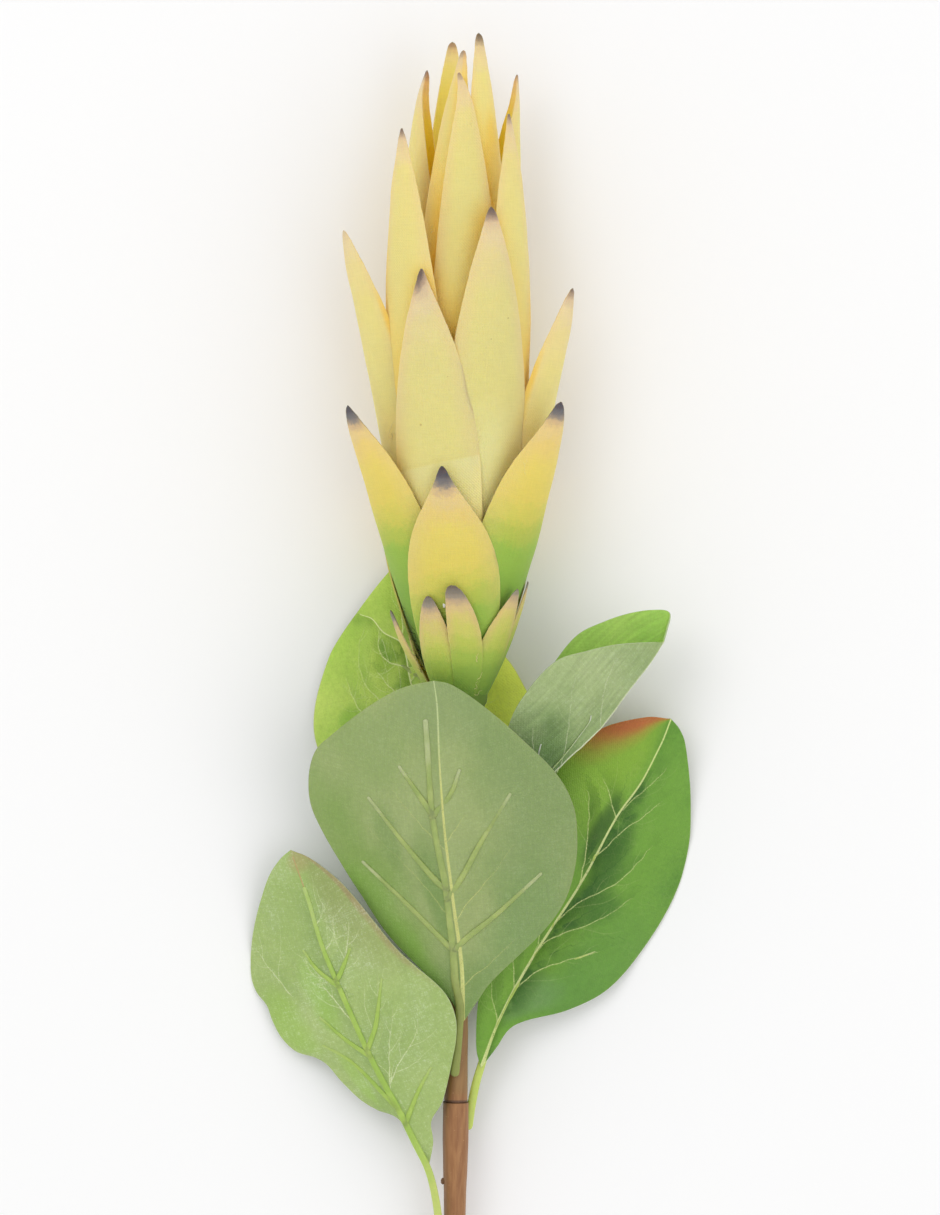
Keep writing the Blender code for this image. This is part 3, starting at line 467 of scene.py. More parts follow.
            (0.0110, -0.0290, 0.0140), (0.0213, -0.0126, 0.0108), (0.0227, -0.0042, 0.0090),
            (0.0188, 0.0028, 0.0075), (0.0143, 0.0104, 0.0062), (0.0060, 0.0196, 0.0048),
            (-0.0025, 0.0280, 0.0030), (-0.0110, 0.0355, 0.0042),
        ),
        face=UPPER_FACE_UP,
        belly=0.0010,
        petiole=((-0.0006, -0.0560, 0.0148), (-0.0003, -0.0480, 0.0151), (0.0001, -0.0400, 0.0152)),
        rib=PLAIN_RIB,
        side_ribs=PLAIN_SIDE_RIBS,
        midvein=((0.0, 0.0), (0.30, -0.04), (0.58, -0.09), (0.66, -0.09), (0.72, -0.13), (0.76, -0.36),
                 (0.81, -0.60), (0.83, -0.88)),
        midvein_widths=(0.0006, 0.0002),
        veins=(
            (0.8, ((0.72, -0.12), (0.85, -0.06), (1.0, 0.0))),
            (1.0, ((0.63, -0.09), (0.64, -0.18), (0.66, -0.30), (0.71, -0.40), (0.77, -0.44))),
            (0.9, ((0.50, -0.16), (0.57, -0.28), (0.63, -0.40))),
            (0.5, ((0.48, -0.30), (0.55, -0.42), (0.62, -0.56), (0.70, -0.64), (0.78, -0.68))),
            (0.6, ((0.48, -0.46), (0.53, -0.58), (0.57, -0.64), (0.63, -0.72))),
            (0.7, ((0.25, -0.03), (0.36, 0.25), (0.48, 0.62))),
            (0.7, ((0.42, -0.06), (0.54, 0.25), (0.68, 0.66))),
            (0.6, ((0.58, -0.08), (0.70, 0.22), (0.84, 0.62))),
        ),
        wave=0.0005,
        pillow=0.00090,
        rib_size=0.9,
        vein_widths=(0.00034, 0.00020),
    ),
)

# Dyes of the bracts, as millimetres below the tip and the colour there. All colours are given as they look
OUTER_DYE = (
    (0.0, (100, 92, 88)), (1.5, (124, 112, 102)), (3.0, (174, 154, 132)), (4.6, (220, 194, 158)),
    (8.0, (236, 211, 162)), (14.0, (238, 216, 148)), (26.0, (237, 219, 138)), (50.0, (237, 219, 134)),
    (66.0, (243, 229, 150)), (100.0, (240, 230, 158)), (120.0, (222, 218, 130)),
)
# Deep rows, outside: dyed at the tip; golden from about 60 mm down, painted shade where the outer rows cover
# them
DEEP_DYE_AND_PAINTED_SHADE = (
    (0.0, (88, 80, 78)), (1.2, (122, 110, 102)), (2.4, (178, 158, 134)), (4.0, (228, 200, 158)),
    (8.0, (238, 212, 156)), (13.0, (238, 218, 140)), (30.0, (238, 220, 136)), (55.0, (238, 216, 130)),
    (75.0, (246, 212, 112)), (100.0, (250, 206, 94)), (150.0, (250, 196, 76)),
)
INNER_DYE = (
    (0.0, (124, 108, 92)), (1.5, (166, 142, 114)), (3.0, (222, 192, 140)), (5.0, (240, 214, 146)),
    (9.0, (242, 222, 128)), (20.0, (244, 222, 106)), (45.0, (246, 208, 88)), (150.0, (244, 190, 66)),
)
WARM_DYE = (
    (0.0, (124, 104, 90)), (1.5, (168, 134, 106)), (4.0, (234, 188, 130)), (8.0, (252, 208, 122)),
    (13.0, (255, 220, 94)), (22.0, (255, 216, 64)), (60.0, (255, 208, 50)), (150.0, (250, 196, 52)),
)
GREEN_DYE = (
    (0.0, (54, 55, 64)), (2.0, (76, 79, 88)), (4.0, (106, 109, 112)), (5.4, (142, 136, 126)),
    (6.7, (210, 180, 138)), (9.0, (236, 203, 138)), (13.0, (240, 206, 120)), (19.0, (240, 212, 106)),
    (27.0, (236, 210, 98)), (32.0, (218, 206, 90)), (37.0, (184, 196, 78)), (43.0, (152, 188, 70)),
    (55.0, (132, 174, 60)), (75.0, (112, 150, 50)),
)
GREEN_INNER_DYE = (
    (0.0, (72, 72, 76)), (5.0, (104, 102, 98)), (10.0, (210, 172, 116)), (22.0, (226, 200, 106)),
    (42.0, (180, 190, 84)), (75.0, (108, 136, 52)),
)
BASAL_DYE = (
    (0.0, (100, 96, 90)), (1.5, (124, 119, 108)), (2.8, (150, 140, 124)), (4.0, (192, 166, 132)),
    (6.0, (220, 190, 132)), (8.5, (220, 200, 116)), (12.0, (210, 204, 102)), (16.0, (190, 198, 86)),
    (20.0, (164, 188, 74)), (25.0, (142, 174, 66)), (32.0, (120, 158, 56)),
)
BASAL_INNER_DYE = (
    (0.0, (90, 84, 84)), (4.0, (122, 112, 106)), (8.0, (204, 164, 122)), (18.0, (186, 182, 84)),
    (32.0, (108, 138, 52)),
)

# One dyed cloth: how far its dyes reach in millimetres, the dyes of its outer face, its plain inner face and
# its warm inner face, and the colours of its rims, its cut edge and the painted golden light between two
# bracts
Dyes = namedtuple("Dyes", "reach outer inner warm rim edge glow")
BRACT_DYES = {
    "yellow": Dyes(
        120.0, OUTER_DYE, INNER_DYE, WARM_DYE, rim=(238, 204, 150), edge=(232, 200, 136), glow=(250, 222, 130)
    ),
    "deep_yellow_with_painted_shade": Dyes(
        150.0, DEEP_DYE_AND_PAINTED_SHADE, INNER_DYE, WARM_DYE, rim=(238, 204, 150), edge=(232, 200, 136), glow=(255, 206, 88)
    ),
    "green": Dyes(
        75.0, GREEN_DYE, GREEN_INNER_DYE, GREEN_INNER_DYE, rim=(232, 202, 132), edge=(214, 184, 112),
        glow=(160, 170, 62)
    ),
    "basal": Dyes(
        32.0, BASAL_DYE, BASAL_INNER_DYE, BASAL_INNER_DYE, rim=(226, 176, 134), edge=(216, 190, 140),
        glow=(150, 160, 70)
    ),
}
PLAIN_YELLOW = (246, 222, 96)
GOLD_EDGE = (250, 200, 80)
CREASE_BAND = (242, 232, 168)
CREASE_LINE = (214, 190, 110)

# Small brown specks on the yellow cloth, from the head's base, with their radii
SPECK_COLOUR = (166, 128, 74)
SPECKS = (
    ((0.0137, 0.1064), 0.00022),
    ((0.0090, 0.1005), 0.00020),
    ((-0.0106, 0.0767), 0.00040),
    ((-0.0031, 0.0900), 0.00016),
)

# A patch of another colour on a leaf: its middle and reach along and across, its colour and its strength
Patch = namedtuple("Patch", "along across reach_along reach_across colour strength")

# How one leaf's cloth looks: the light and the dark green of each face, the veins of its underside, patches
# of other colours, some of them painted shade, the cut edge, the colour of the painted shade in its valleys
# and its strength, how hairy its underside is, how plain its twigs are, the colour of the midrib's end, the
# veins of its upper face, how streaked the cloth is, and the side of the midrib on which its valleys lie
LOOK_FIELDS = (
    "upper under under_vein patches edge shade valleys hairs twigs vein_end upper_vein streaks valley_side"
)
LOOK_DEFAULTS = ((214, 226, 150), 0.10, 1)
Look = namedtuple("Look", LOOK_FIELDS, defaults=LOOK_DEFAULTS)

PLAIN_UPPER = ((118, 166, 54), (84, 138, 36))
PLAIN_UNDER = ((164, 182, 120), (148, 170, 106))
PALE_VEIN = (214, 222, 184)
HAIR_COLOUR = (218, 228, 200)
LOOKS = {
    "front": Look(
        upper=PLAIN_UPPER,
        under=((158, 172, 112), (145, 164, 101)),
        under_vein=(202, 206, 126),
        patches=(
            Patch(0.50, 0.80, 0.60, 0.50, (130, 153, 94), 0.8),
            Patch(0.22, 0.70, 0.24, 0.60, (126, 154, 90), 0.7),
            Patch(0.95, 0.00, 0.16, 1.10, (142, 160, 106), 0.7),
            Patch(0.60, -0.05, 0.24, 0.34, (162, 176, 118), 0.6),
            Patch(0.30, -0.85, 0.34, 0.50, (126, 158, 72), 0.8),
            Patch(0.24, -0.90, 0.22, 0.36, (128, 172, 66), 0.7),
            Patch(0.06, 0.0, 0.16, 1.2, (112, 142, 72), 0.6),
            # Painted shade along the left of the moulded rib
            Patch(0.40, -0.16, 0.20, 0.14, (116, 146, 76), 0.7),
            Patch(0.52, -0.45, 0.10, 0.10, (124, 150, 82), 0.6),
        ),
        edge=(140, 146, 104),
        shade=(114, 140, 76),
        valleys=0.40,
        hairs=0.08,
        twigs=0.15,
        vein_end=(190, 204, 146),
    ),
    "lower_left": Look(
        upper=PLAIN_UPPER,
        under=((174, 194, 122), (158, 182, 106)),
        under_vein=(216, 226, 176),
        patches=(
            Patch(0.80, 0.80, 0.26, 0.60, (148, 160, 96), 0.8),
            Patch(0.84, 0.98, 0.34, 0.12, (160, 142, 102), 0.8),
            Patch(0.97, 0.30, 0.05, 0.90, (172, 160, 108), 0.7),
            Patch(0.50, -0.80, 0.12, 0.26, (156, 190, 88), 0.8),
            Patch(0.56, -0.26, 0.12, 0.20, (152, 190, 86), 0.8),
            Patch(0.30, -0.55, 0.10, 0.20, (158, 192, 92), 0.7),
        ),
        edge=(190, 202, 156),
        shade=(130, 158, 88),
        valleys=0.50,
        hairs=0.34,
        twigs=0.75,
        vein_end=(190, 150, 104),
    ),
    "lower_right": Look(
        upper=((112, 160, 54), (88, 138, 40)),
        under=PLAIN_UNDER,
        under_vein=PALE_VEIN,
        patches=(
            Patch(0.30, -0.40, 0.35, 0.90, (122, 166, 52), 0.6),
            Patch(0.35, 0.75, 0.25, 0.50, (98, 146, 58), 0.7),
            Patch(0.80, -0.60, 0.22, 0.70, (144, 182, 52), 0.7),
            Patch(0.91, -0.98, 0.17, 0.50, (172, 138, 54), 0.8),
            Patch(0.91, -1.00, 0.13, 0.34, (182, 100, 50), 0.95),
            # Painted shade of the relief beside the midrib and under the side veins, where the print is dark
            # too
            Patch(0.62, 0.16, 0.12, 0.20, (66, 112, 32), 0.9),
            Patch(0.50, 0.24, 0.06, 0.30, (68, 116, 34), 0.8),
            Patch(0.67, -0.13, 0.12, 0.15, (54, 94, 22), 0.85),
            Patch(0.20, 0.34, 0.10, 0.50, (108, 146, 84), 0.7),
        ),
        edge=(150, 166, 110),
        shade=(50, 98, 20),
        valleys=0.90,
        valley_side=-1,
        hairs=0.3,
        twigs=0.25,
        vein_end=(206, 222, 140),
    ),
    "upper_right": Look(
        upper=((172, 208, 100), (148, 192, 80)),
        under=((172, 188, 134), (152, 172, 114)),
        under_vein=PALE_VEIN,
        patches=(
            Patch(0.30, 0.40, 0.24, 0.80, (88, 122, 60), 0.9),
        ),
        edge=(180, 190, 158),
        shade=(116, 146, 84),
        valleys=0.30,
        hairs=0.16,
        streaks=0.55,
        twigs=0.30,
        vein_end=PALE_VEIN,
    ),
    "back": Look(
        upper=((194, 218, 102), (168, 204, 78)),
        upper_vein=(232, 242, 176),
        under=PLAIN_UNDER,
        under_vein=PALE_VEIN,
        patches=(
            Patch(0.50, 0.80, 0.44, 0.8, (240, 255, 100), 0.95),
            Patch(0.66, -0.30, 0.07, 0.16, (150, 186, 60), 0.8),
            Patch(0.50, -0.66, 0.05, 0.12, (140, 186, 62), 0.7),
        ),
        edge=(190, 176, 160),
        shade=(104, 146, 42),
        valleys=0.80,
        hairs=0.3,
        twigs=0.50,
        vein_end=(232, 242, 176),
    ),
}

# Moulded ribs: the colours of their body, their shadows, their ends and their stalk, and which leaf has which
RIB_COLOURS = {
    "olive": ((168, 183, 106), (150, 169, 94), (184, 194, 148), (136, 144, 70)),
    "fresh": ((170, 198, 92), (156, 188, 80), (178, 200, 120), (198, 208, 116)),
    "bright": ((192, 216, 100), (166, 196, 80), (200, 210, 150), (196, 212, 106)),
    "whitish": ((172, 190, 136), (160, 180, 124), (222, 224, 208), (170, 186, 120)),
}
LEAF_RIBS = {
    "front": "olive",
    "lower_left": "fresh",
    "lower_right": "bright",
    "upper_right": "whitish",
    "back": "olive",
}

# Weaves, as the distance between threads, and light that soaks in, as its share, its depth and how far the
# red, the green and the blue of it go
BRACT_PITCH = 0.00042
LEAF_PITCH = 0.00045
BRACT_LIGHT = (0.35, 0.0030, (1.0, 0.66, 0.28))
LEAF_LIGHT = (0.15, 0.0020, (0.7, 1.0, 0.25))
RIB_LIGHT = (0.35, 0.0020, (0.8, 1.0, 0.4))
CLOTH_SHEEN = 0.08

# A tuft of frayed threads: where it starts and over what length, from the head's base, the way its threads
# point in degrees from the right, how far they fan out, their length and their number
Tuft = namedtuple("Tuft", "x y reach_x reach_y turn fan length count")
PALE_TUFTS = (
    Tuft(-0.0079, 0.1311, 0.0002, 0.0012, 30, 30, 0.0008, 7),
    Tuft(0.0034, 0.1660, 0.0003, 0.0060, 20, 60, 0.0005, 12),
    Tuft(-0.0192, 0.0742, 0.0004, 0.0022, 75, 30, 0.0024, 9),
    Tuft(0.0056, 0.0744, 0.0004, 0.0040, 60, 40, 0.0018, 8),
    Tuft(0.0188, 0.0652, 0.0010, 0.0030, 120, 40, 0.0012, 5),
    Tuft(0.0050, 0.0086, 0.0003, 0.0028, 80, 20, 0.0024, 3),
    Tuft(0.0036, 0.0022, 0.0010, 0.0010, 60, 40, 0.0022, 2),
)
DARK_TUFTS = (
    Tuft(-0.0124, 0.0178, 0.0006, 0.0016, 110, 60, 0.0014, 12),
    Tuft(-0.0112, 0.0130, 0.0006, 0.0022, 110, 60, 0.0018, 16),
    Tuft(-0.0102, 0.0092, 0.0005, 0.0016, 110, 60, 0.0014, 12),
    Tuft(0.0108, 0.0030, 0.0006, 0.0030, 65, 50, 0.0024, 16),
    Tuft(-0.0154, 0.0226, 0.0004, 0.0050, 100, 40, 0.0012, 8),
)

# Threads: their radius, how far they lift off the cloth and rise to their ends, and the step they climb
THREAD_RADIUS = 0.00005
THREAD_LIFT = 0.00015
THREAD_RISE = 0.0002
THREAD_CLIMB = 0.0012

# Dot of white glue on a basal bract, from the head's base
GLUE_DOT_PLACE = (-0.0041, 0.0266)
GLUE_DOT_REACH = (0.0004, 0.0008, 0.0002)

# Camera straight above the flower: where it looks and the height of the frame in the plane of the stem
VIEW_X = -0.00002
VIEW_Y = 0.0574
VIEW_HEIGHT = 0.3402
VIEW_PLANE = 0.025
LENS = 300.0
SENSOR = 36.0

# Studio: how far the floor reaches, the light from all round, and two soft lights, each with its place, its
# diameter and its power, aimed at the middle of the flower
FLOOR_REACH = 6.0
SKY_STRENGTH = 0.82
LIGHT_AIM = (0.0, 0.05, 0.02)
LIGHTS = (
    ("key_light", (-0.6, 0.6, 1.3), 0.9, 3.6),
    ("fill_light", (0.8, -0.2, 1.1), 1.2, 2.2),
)


def clamp(number, low=0.0, high=1.0):
    return min(max(number, low), high)


def part_way(start, end, share):
    return start + (end - start) * share


def paint(red, green, blue):
    """A colour given as it looks, 0 to 255, in the linear values that a shader takes."""
    parts = []
    for level in (red, green, blue):
        shown = level / 255
        parts.append(shown / 12.92 if shown <= 0.04045 else ((shown + 0.055) / 1.055) ** 2.4)
    return (*parts, 1.0)


class Value:
    """One number or colour in a material, so that shader maths reads as a Python expression."""

    def __init__(self, finish, socket):
        self.finish = finish
        self.socket = socket

    def maths(self, operation, *others, clamped=False):
        settings = {"operation": operation, "use_clamp": clamped}
        inputs = dict(enumerate((self, *others)))
        return self.finish.node("ShaderNodeMath", settings, inputs)

    def __add__(self, other):
        return self.maths("ADD", other)

    def __sub__(self, other):
        return self.maths("SUBTRACT", other)

    def __rsub__(self, other):
        return (self * -1) + other

    def __mul__(self, other):
        return self.maths("MULTIPLY", other)

    def __truediv__(self, other):
        return self.maths("DIVIDE", other)

    def __abs__(self):
        return self.maths("ABSOLUTE")

    __radd__ = __add__
    __rmul__ = __mul__

    def sine(self):
        return self.maths("SINE")

    def sign(self):
        return self.maths("SIGN")

    def clamped(self):
        return self.maths("ADD", 0.0, clamped=True)

    def eased(self, low, high):
        """0 below low, 1 above high, and smooth between. With low above high it falls instead."""
        settings = {"interpolation_type": "SMOOTHSTEP"}
        if low > high:
            inputs = {"Value": self, "From Min": high, "From Max": low, "To Min": 1.0, "To Max": 0.0}
        else:
            inputs = {"Value": self, "From Min": low, "From Max": high}
        return self.finish.node("ShaderNodeMapRange", settings, inputs)

    def part(self, name):
        """One part, X, Y or Z, of a vector."""
        return self.finish.node("ShaderNodeSeparateXYZ", {}, {"Vector": self}, name)


class Finish:
    """One material while it is built."""

    def __init__(self, name, roughness=0.8, sheen=0.0, light=None):
        self.material = bpy.data.materials.new(name)
        self.material.use_nodes = True
        self.tree = self.material.node_tree
        self.shader = self.tree.nodes["Principled BSDF"]
        self.give("Roughness", roughness)
        self.give("Sheen Weight", sheen)
        self.give("Sheen Roughness", 0.4)
        if light:
            share, depth, colours = light
            self.give("Subsurface Weight", share)
            self.give("Subsurface Scale", depth)
            self.give("Subsurface Radius", colours)

    def give(self, name, given):
        """Gives one of the shader's inputs a value or a link."""
        if isinstance(given, Value):
            self.tree.links.new(given.socket, self.shader.inputs[name])
        else:
            self.shader.inputs[name].default_value = given

    def node(self, kind, settings, inputs, output=0):
        """Any node: its settings first, a ramp's stops among them, then its sockets' values or links."""
        made = self.tree.nodes.new(kind)
        for name, setting in settings.items():
            if name == "stops":
                self.set_stops(made.color_ramp, setting)
            else:
                setattr(made, name, setting)
        for name, given in inputs.items():
            if isinstance(given, Value):
                self.tree.links.new(given.socket, made.inputs[name])
            else:
                made.inputs[name].default_value = given
        return Value(self, made.outputs[output])

    @staticmethod
    def set_stops(ramp, stops):
        ramp.interpolation = "EASE"
        while len(ramp.elements) < len(stops):
            ramp.elements.new(1.0)
        for element, (place, colour) in zip(ramp.elements, stops):
            element.position = place
            element.color = colour

    def attribute(self, name):
        return self.node("ShaderNodeAttribute", {"attribute_name": name}, {}, "Fac")

    def place(self):
        return self.node("ShaderNodeTexCoord", {}, {}, "Object")

    def cloth_place(self, across_scale, along_scale):
        """A place on the cloth, along its threads, with one scale for each way."""
        threads = self.node("ShaderNodeUVMap", {"uv_map": "threads"}, {})
        inputs = {"Vector": threads, "Scale": (across_scale, along_scale, 1.0)}
        return self.node("ShaderNodeMapping", {}, inputs)

    def noise(self, vector, scale, detail=2.0):
        inputs = {"Vector": vector, "Scale": scale, "Detail": detail, "Roughness": 0.5}
        return self.node("ShaderNodeTexNoise", {}, inputs, "Fac")

    def uneven(self, scale, detail=3.0):
        """A smooth random number in space, about 0 on average."""
        return self.noise(self.place(), scale, detail) - 0.5

    def cells(self, vector, scale):
        """Distance to the edges between cells."""
        inputs = {"Vector": vector, "Scale": scale}
        return self.node("ShaderNodeTexVoronoi", {"feature": "DISTANCE_TO_EDGE"}, inputs, "Distance")

    def dye(self, millimetres, reach, stops):
        """The colour at a depth below the tip, out of stops of millimetres and colours up to the reach."""
        stops = tuple((depth / reach, paint(*colour)) for depth, colour in stops)
        return self.node("ShaderNodeValToRGB", {"stops": stops}, {"Fac": millimetres / reach})

    def mix(self, factor, first, second, blend="MIX"):
        """The first colour at 0 and the second at 1."""
        settings = {"data_type": "RGBA", "blend_type": blend, "clamp_factor": True}
        return self.node("ShaderNodeMix", settings, {0: factor, 6: first, 7: second}, 2)

    def spot(self, point, radius, wander):
        """1 in a small round spot, seen along Z, with an uneven edge."""
        flat = self.node("ShaderNodeMapping", {}, {"Vector": self.place(), "Scale": (1.0, 1.0, 0.0)})
        settings = {"operation": "DISTANCE"}
        distance = self.node("ShaderNodeVectorMath", settings, {0: flat, 1: (*point, 0.0)}, "Value")
        return (distance / radius + wander).eased(1.1, 0.7)

    def shaded(self, colour, amount):
        """A colour made lighter or darker by a number about 1."""
        parts = self.node("ShaderNodeCombineColor", {}, {"Red": amount, "Green": amount, "Blue": amount})
        return self.mix(1.0, colour, parts, "MULTIPLY")

    def set_bump(self, height, distance, strength):
        inputs = {"Height": height, "Distance": distance, "Strength": strength}
        self.give("Normal", self.node("ShaderNodeBump", {}, inputs))

    def weave(self, pitch):
        """Height of a plain weave with that distance between threads."""
        turns = math.tau / pitch / 2
        threads = self.cloth_place(turns, turns)
        warp = threads.part("X").sine()
        weft = threads.part("Y").sine()
        return warp * weft

    def slubs(self):
        """Thick and thin places in the threads, about 0 on average."""
        warp = self.noise(self.cloth_place(3200, 260), 1.0, 1.0) - 0.5
        weft = self.noise(self.cloth_place(240, 3000), 1.0, 1.0) - 0.5
        return warp + weft


def bract_cloth(name, dyes):
    """Dyed cloth: grey at the tip through peach to yellow or green, with a golden inner face and rims, and
    painted golden light in the gaps between bracts.
    """
    cloth = Finish(f"{name}_bract_cloth", sheen=CLOTH_SHEEN, light=BRACT_LIGHT)
    reach = dyes.reach
    from_tip = cloth.attribute("from_tip")
    across = cloth.attribute("across")
    edgewards = abs(across)
    wander = cloth.uneven(120)
    bleed = cloth.uneven(900)

    spread = (from_tip * 0.09 + 0.04).clamped()
    lopsided = cloth.attribute("lopsided") * across * from_tip.eased(10.0, 30.0)
    dyed = from_tip + lopsided + (wander * 8 + bleed * 4) * spread + (1 - cloth.attribute("grey")) * 2.4
    outside = cloth.dye(dyed, reach, dyes.outer)
    outside = cloth.mix(cloth.attribute("yellow") * 0.8, outside, paint(*PLAIN_YELLOW))
    rim = edgewards.eased(0.40, 1.0) * from_tip.eased(2.0, 9.0) * from_tip.eased(reach * 0.7, reach * 0.3)
    outside = cloth.mix(rim * 0.45, outside, paint(*dyes.rim))
    plain_inside = cloth.dye(dyed, reach, dyes.inner)
    warm_inside = cloth.dye(dyed, reach, dyes.warm)
    inside = cloth.mix(cloth.attribute("warm"), plain_inside, warm_inside)

    turned_out = (cloth.attribute("turned_out") + wander * 0.2).eased(0.14, 0.30)
    outer_face = cloth.mix(turned_out, outside, inside)
    gold = cloth.attribute("gold_edge").eased(0.74, 0.92) * from_tip.eased(14.0, 26.0)
    gold = gold * from_tip.eased(72.0, 58.0)
    outer_face = cloth.mix(gold * 0.8, outer_face, paint(*GOLD_EDGE))
    crease = cloth.attribute("crease")
    band = crease.eased(0.0, 0.8) * crease.eased(9.0, 2.0)
    outer_face = cloth.mix(band * 0.35, outer_face, paint(*CREASE_BAND))
    line = abs(crease + 0.2).eased(0.7, 0.0) * crease.sign() * crease.sign()
    outer_face = cloth.mix(line * 0.12, outer_face, paint(*CREASE_LINE))
    # Painted golden light in the shaded gaps between bracts, where light bounces from cloth to cloth
    glow = (cloth.attribute("glow") * (1 + wander * 0.5)).clamped()
    outer_face = cloth.mix(glow * 0.92, outer_face, paint(*dyes.glow))

    colour = cloth.mix(cloth.attribute("inner"), outer_face, inside)
    colour = cloth.shaded(colour, 1 + wander * 0.07 + cloth.slubs() * 0.11 + cloth.uneven(35, 2.0) * 0.06)
    for (x, y), radius in SPECKS:
        speck = cloth.spot((x + BASE_X, y + BASE_Y), radius, bleed)
        colour = cloth.mix(speck * 0.45, colour, paint(*SPECK_COLOUR))
    cut_edge = edgewards.eased(0.985, 1.0) * from_tip.eased(3.0, 10.0)
    cloth.give("Base Color", cloth.mix(cut_edge * 0.45, colour, paint(*dyes.edge)))
    cloth.give("Roughness", 0.80 + wander * 0.15)
    cloth.set_bump(cloth.weave(BRACT_PITCH) * 0.5 + cloth.slubs() * 1.3, 0.00005, 0.8)
    return cloth.material


def patch_mask(patch, along, across, wander):
    """1 in the middle of a patch, fading out evenly."""
    far_along = (along - patch.along) / patch.reach_along
    far_across = (across - patch.across) / patch.reach_across
    distance = far_along * far_along + far_across * far_across
    return (distance + wander * 1.2).eased(1.3, 0.0) * patch.strength


def leaf_cloth(name, look):
    """Printed cloth, with painted shade in the valleys beside its veins. The patches and the valleys lie on
    both faces.
    """
    cloth = Finish(f"{name}_leaf_cloth", sheen=CLOTH_SHEEN, light=LEAF_LIGHT)
    along = cloth.attribute("along")
    across = cloth.attribute("across")
    under_side = cloth.attribute("under")
    main = cloth.attribute("main")
    side = cloth.attribute("side")
    strong = cloth.attribute("strong")
    wander = cloth.uneven(60)
    grain = cloth.uneven(900)
    speckle = cloth.uneven(2600, 2.0)
    blotch = cloth.noise(cloth.place(), 28, 3.0)

    # Printed veins, broken by the cloth's grain
    broken = (0.75 + speckle * 2.2 + grain * 1.2).clamped()
    on_main = (abs(main) + grain * 0.14 - cloth.attribute("main_width") * 0.5).eased(0.09, -0.09)
    on_main = on_main * (broken + 0.35).clamped()
    on_side = (abs(side) + grain * 0.2 - cloth.attribute("side_width") * 0.5).eased(0.12, -0.06)
    on_side = on_side * cloth.attribute("side_near").eased(1.3, 0.7)
    print_strength = (strong * 1.2 + wander * 0.8).clamped() * broken
    on_twig = (abs(cloth.attribute("twig")) + grain * 0.2).eased(0.20, 0.04)
    on_twig = on_twig * cloth.attribute("twig_near").eased(1.2, 0.6) * cloth.attribute("twig_strong") * broken
    net = cloth.cells(cloth.place(), 420) + grain * 0.15
    fine_net = net.eased(0.06, 0.01) * cloth.noise(cloth.place(), 70, 1.0).eased(0.45, 0.70)

    # Painted shade in the valleys beside the veins, partly where the print is dark too; the same valleys sink
    # the bump
    axil = side * across.sign()
    beside_side = axil.eased(-0.1, 0.5) * axil.eased(5.0, 0.6) * strong
    past_midrib = main * look.valley_side
    beside_main = past_midrib.eased(-0.1, 0.5) * past_midrib.eased(8.0, 0.8) * 0.9
    patchy = (cloth.noise(cloth.place(), 110, 2.0) + grain * 0.2).eased(0.28, 0.62)
    valley_depth_and_shade = ((beside_side + beside_main) * patchy * along.eased(0.97, 0.75)).clamped()

    def face(greens, vein):
        light, dark = greens
        blend = (blotch + wander * 0.5 + grain * 0.25).eased(0.25, 0.75)
        colour = cloth.mix(blend, paint(*dark), paint(*light))
        for patch in look.patches:
            colour = cloth.mix(patch_mask(patch, along, across, wander), colour, paint(*patch.colour))
        # Painted shade of the valleys beside the veins
        colour = cloth.mix(valley_depth_and_shade * look.valleys, colour, paint(*look.shade))
        colour = cloth.mix(fine_net * 0.05, colour, paint(*vein))
        colour = cloth.mix(on_twig * look.twigs, colour, paint(*vein))
        colour = cloth.mix(on_side * print_strength, colour, paint(*vein))
        ending = cloth.mix(along.eased(0.66, 0.90), paint(*vein), paint(*look.vein_end))
        return cloth.mix(on_main, colour, ending)

    # Threads, streaks and the hairs of the underside
    colour = cloth.mix(under_side, face(look.upper, look.upper_vein), face(look.under, look.under_vein))
    fibres = cloth.slubs()
    streaks = (cloth.noise(cloth.cloth_place(900, 70), 1.0, 3.0) - 0.5) * look.streaks
    veil = cloth.noise(cloth.place(), 75, 3.0).eased(0.42, 0.68)
    colour = cloth.shaded(colour, 1 + fibres * 0.12 + grain * 0.16 + speckle * 0.14 + streaks)
    hairs = (fibres * 0.6 + speckle + grain * 0.5 + veil * 0.1).eased(0.05, 0.40) * under_side
    colour = cloth.mix((hairs * 0.8 + veil * under_side * 0.15) * look.hairs, colour, paint(*HAIR_COLOUR))
    cut_edge = abs(across).eased(0.988, 1.0)
    cloth.give("Base Color", cloth.mix(cut_edge * 0.5, colour, paint(*look.edge)))
    cloth.give("Roughness", 0.68 + wander * 0.12 + under_side * 0.12)
    relief = cloth.weave(LEAF_PITCH) * 0.4 + fibres * 1.2 + grain * 1.6
    relief = relief + on_side + on_main * 0.6 - valley_depth_and_shade * 2
    cloth.set_bump(relief, 0.00006, 0.9)
    return cloth.material


def rib_plastic(name, colours):
    """Moulded ribs: slightly clear, paler towards their thin ends, with mould marks."""
    plastic = Finish(f"{name}_rib", light=RIB_LIGHT)
    body, shadow, end, stalk = (paint(*colour) for colour in colours)
    reach = plastic.attribute("reach")
    wander = plastic.uneven(220)
    streaks = plastic.uneven(1400, 2.0)
    colour = plastic.mix((wander + 0.5).eased(0.35, 0.7), shadow, body)
    colour = plastic.mix((reach + wander * 0.2).eased(0.38, 0.14) * 0.9, colour, stalk)
    colour = plastic.mix((reach + wander * 0.35).eased(0.80, 1.04) * 0.8, colour, end)
    plastic.give("Base Color", plastic.shaded(colour, 1 + streaks * 0.15))
    plastic.give("Roughness", 0.45 + wander * 0.2)
    plastic.set_bump(streaks + wander, 0.00006, 0.5)
    return plastic.material


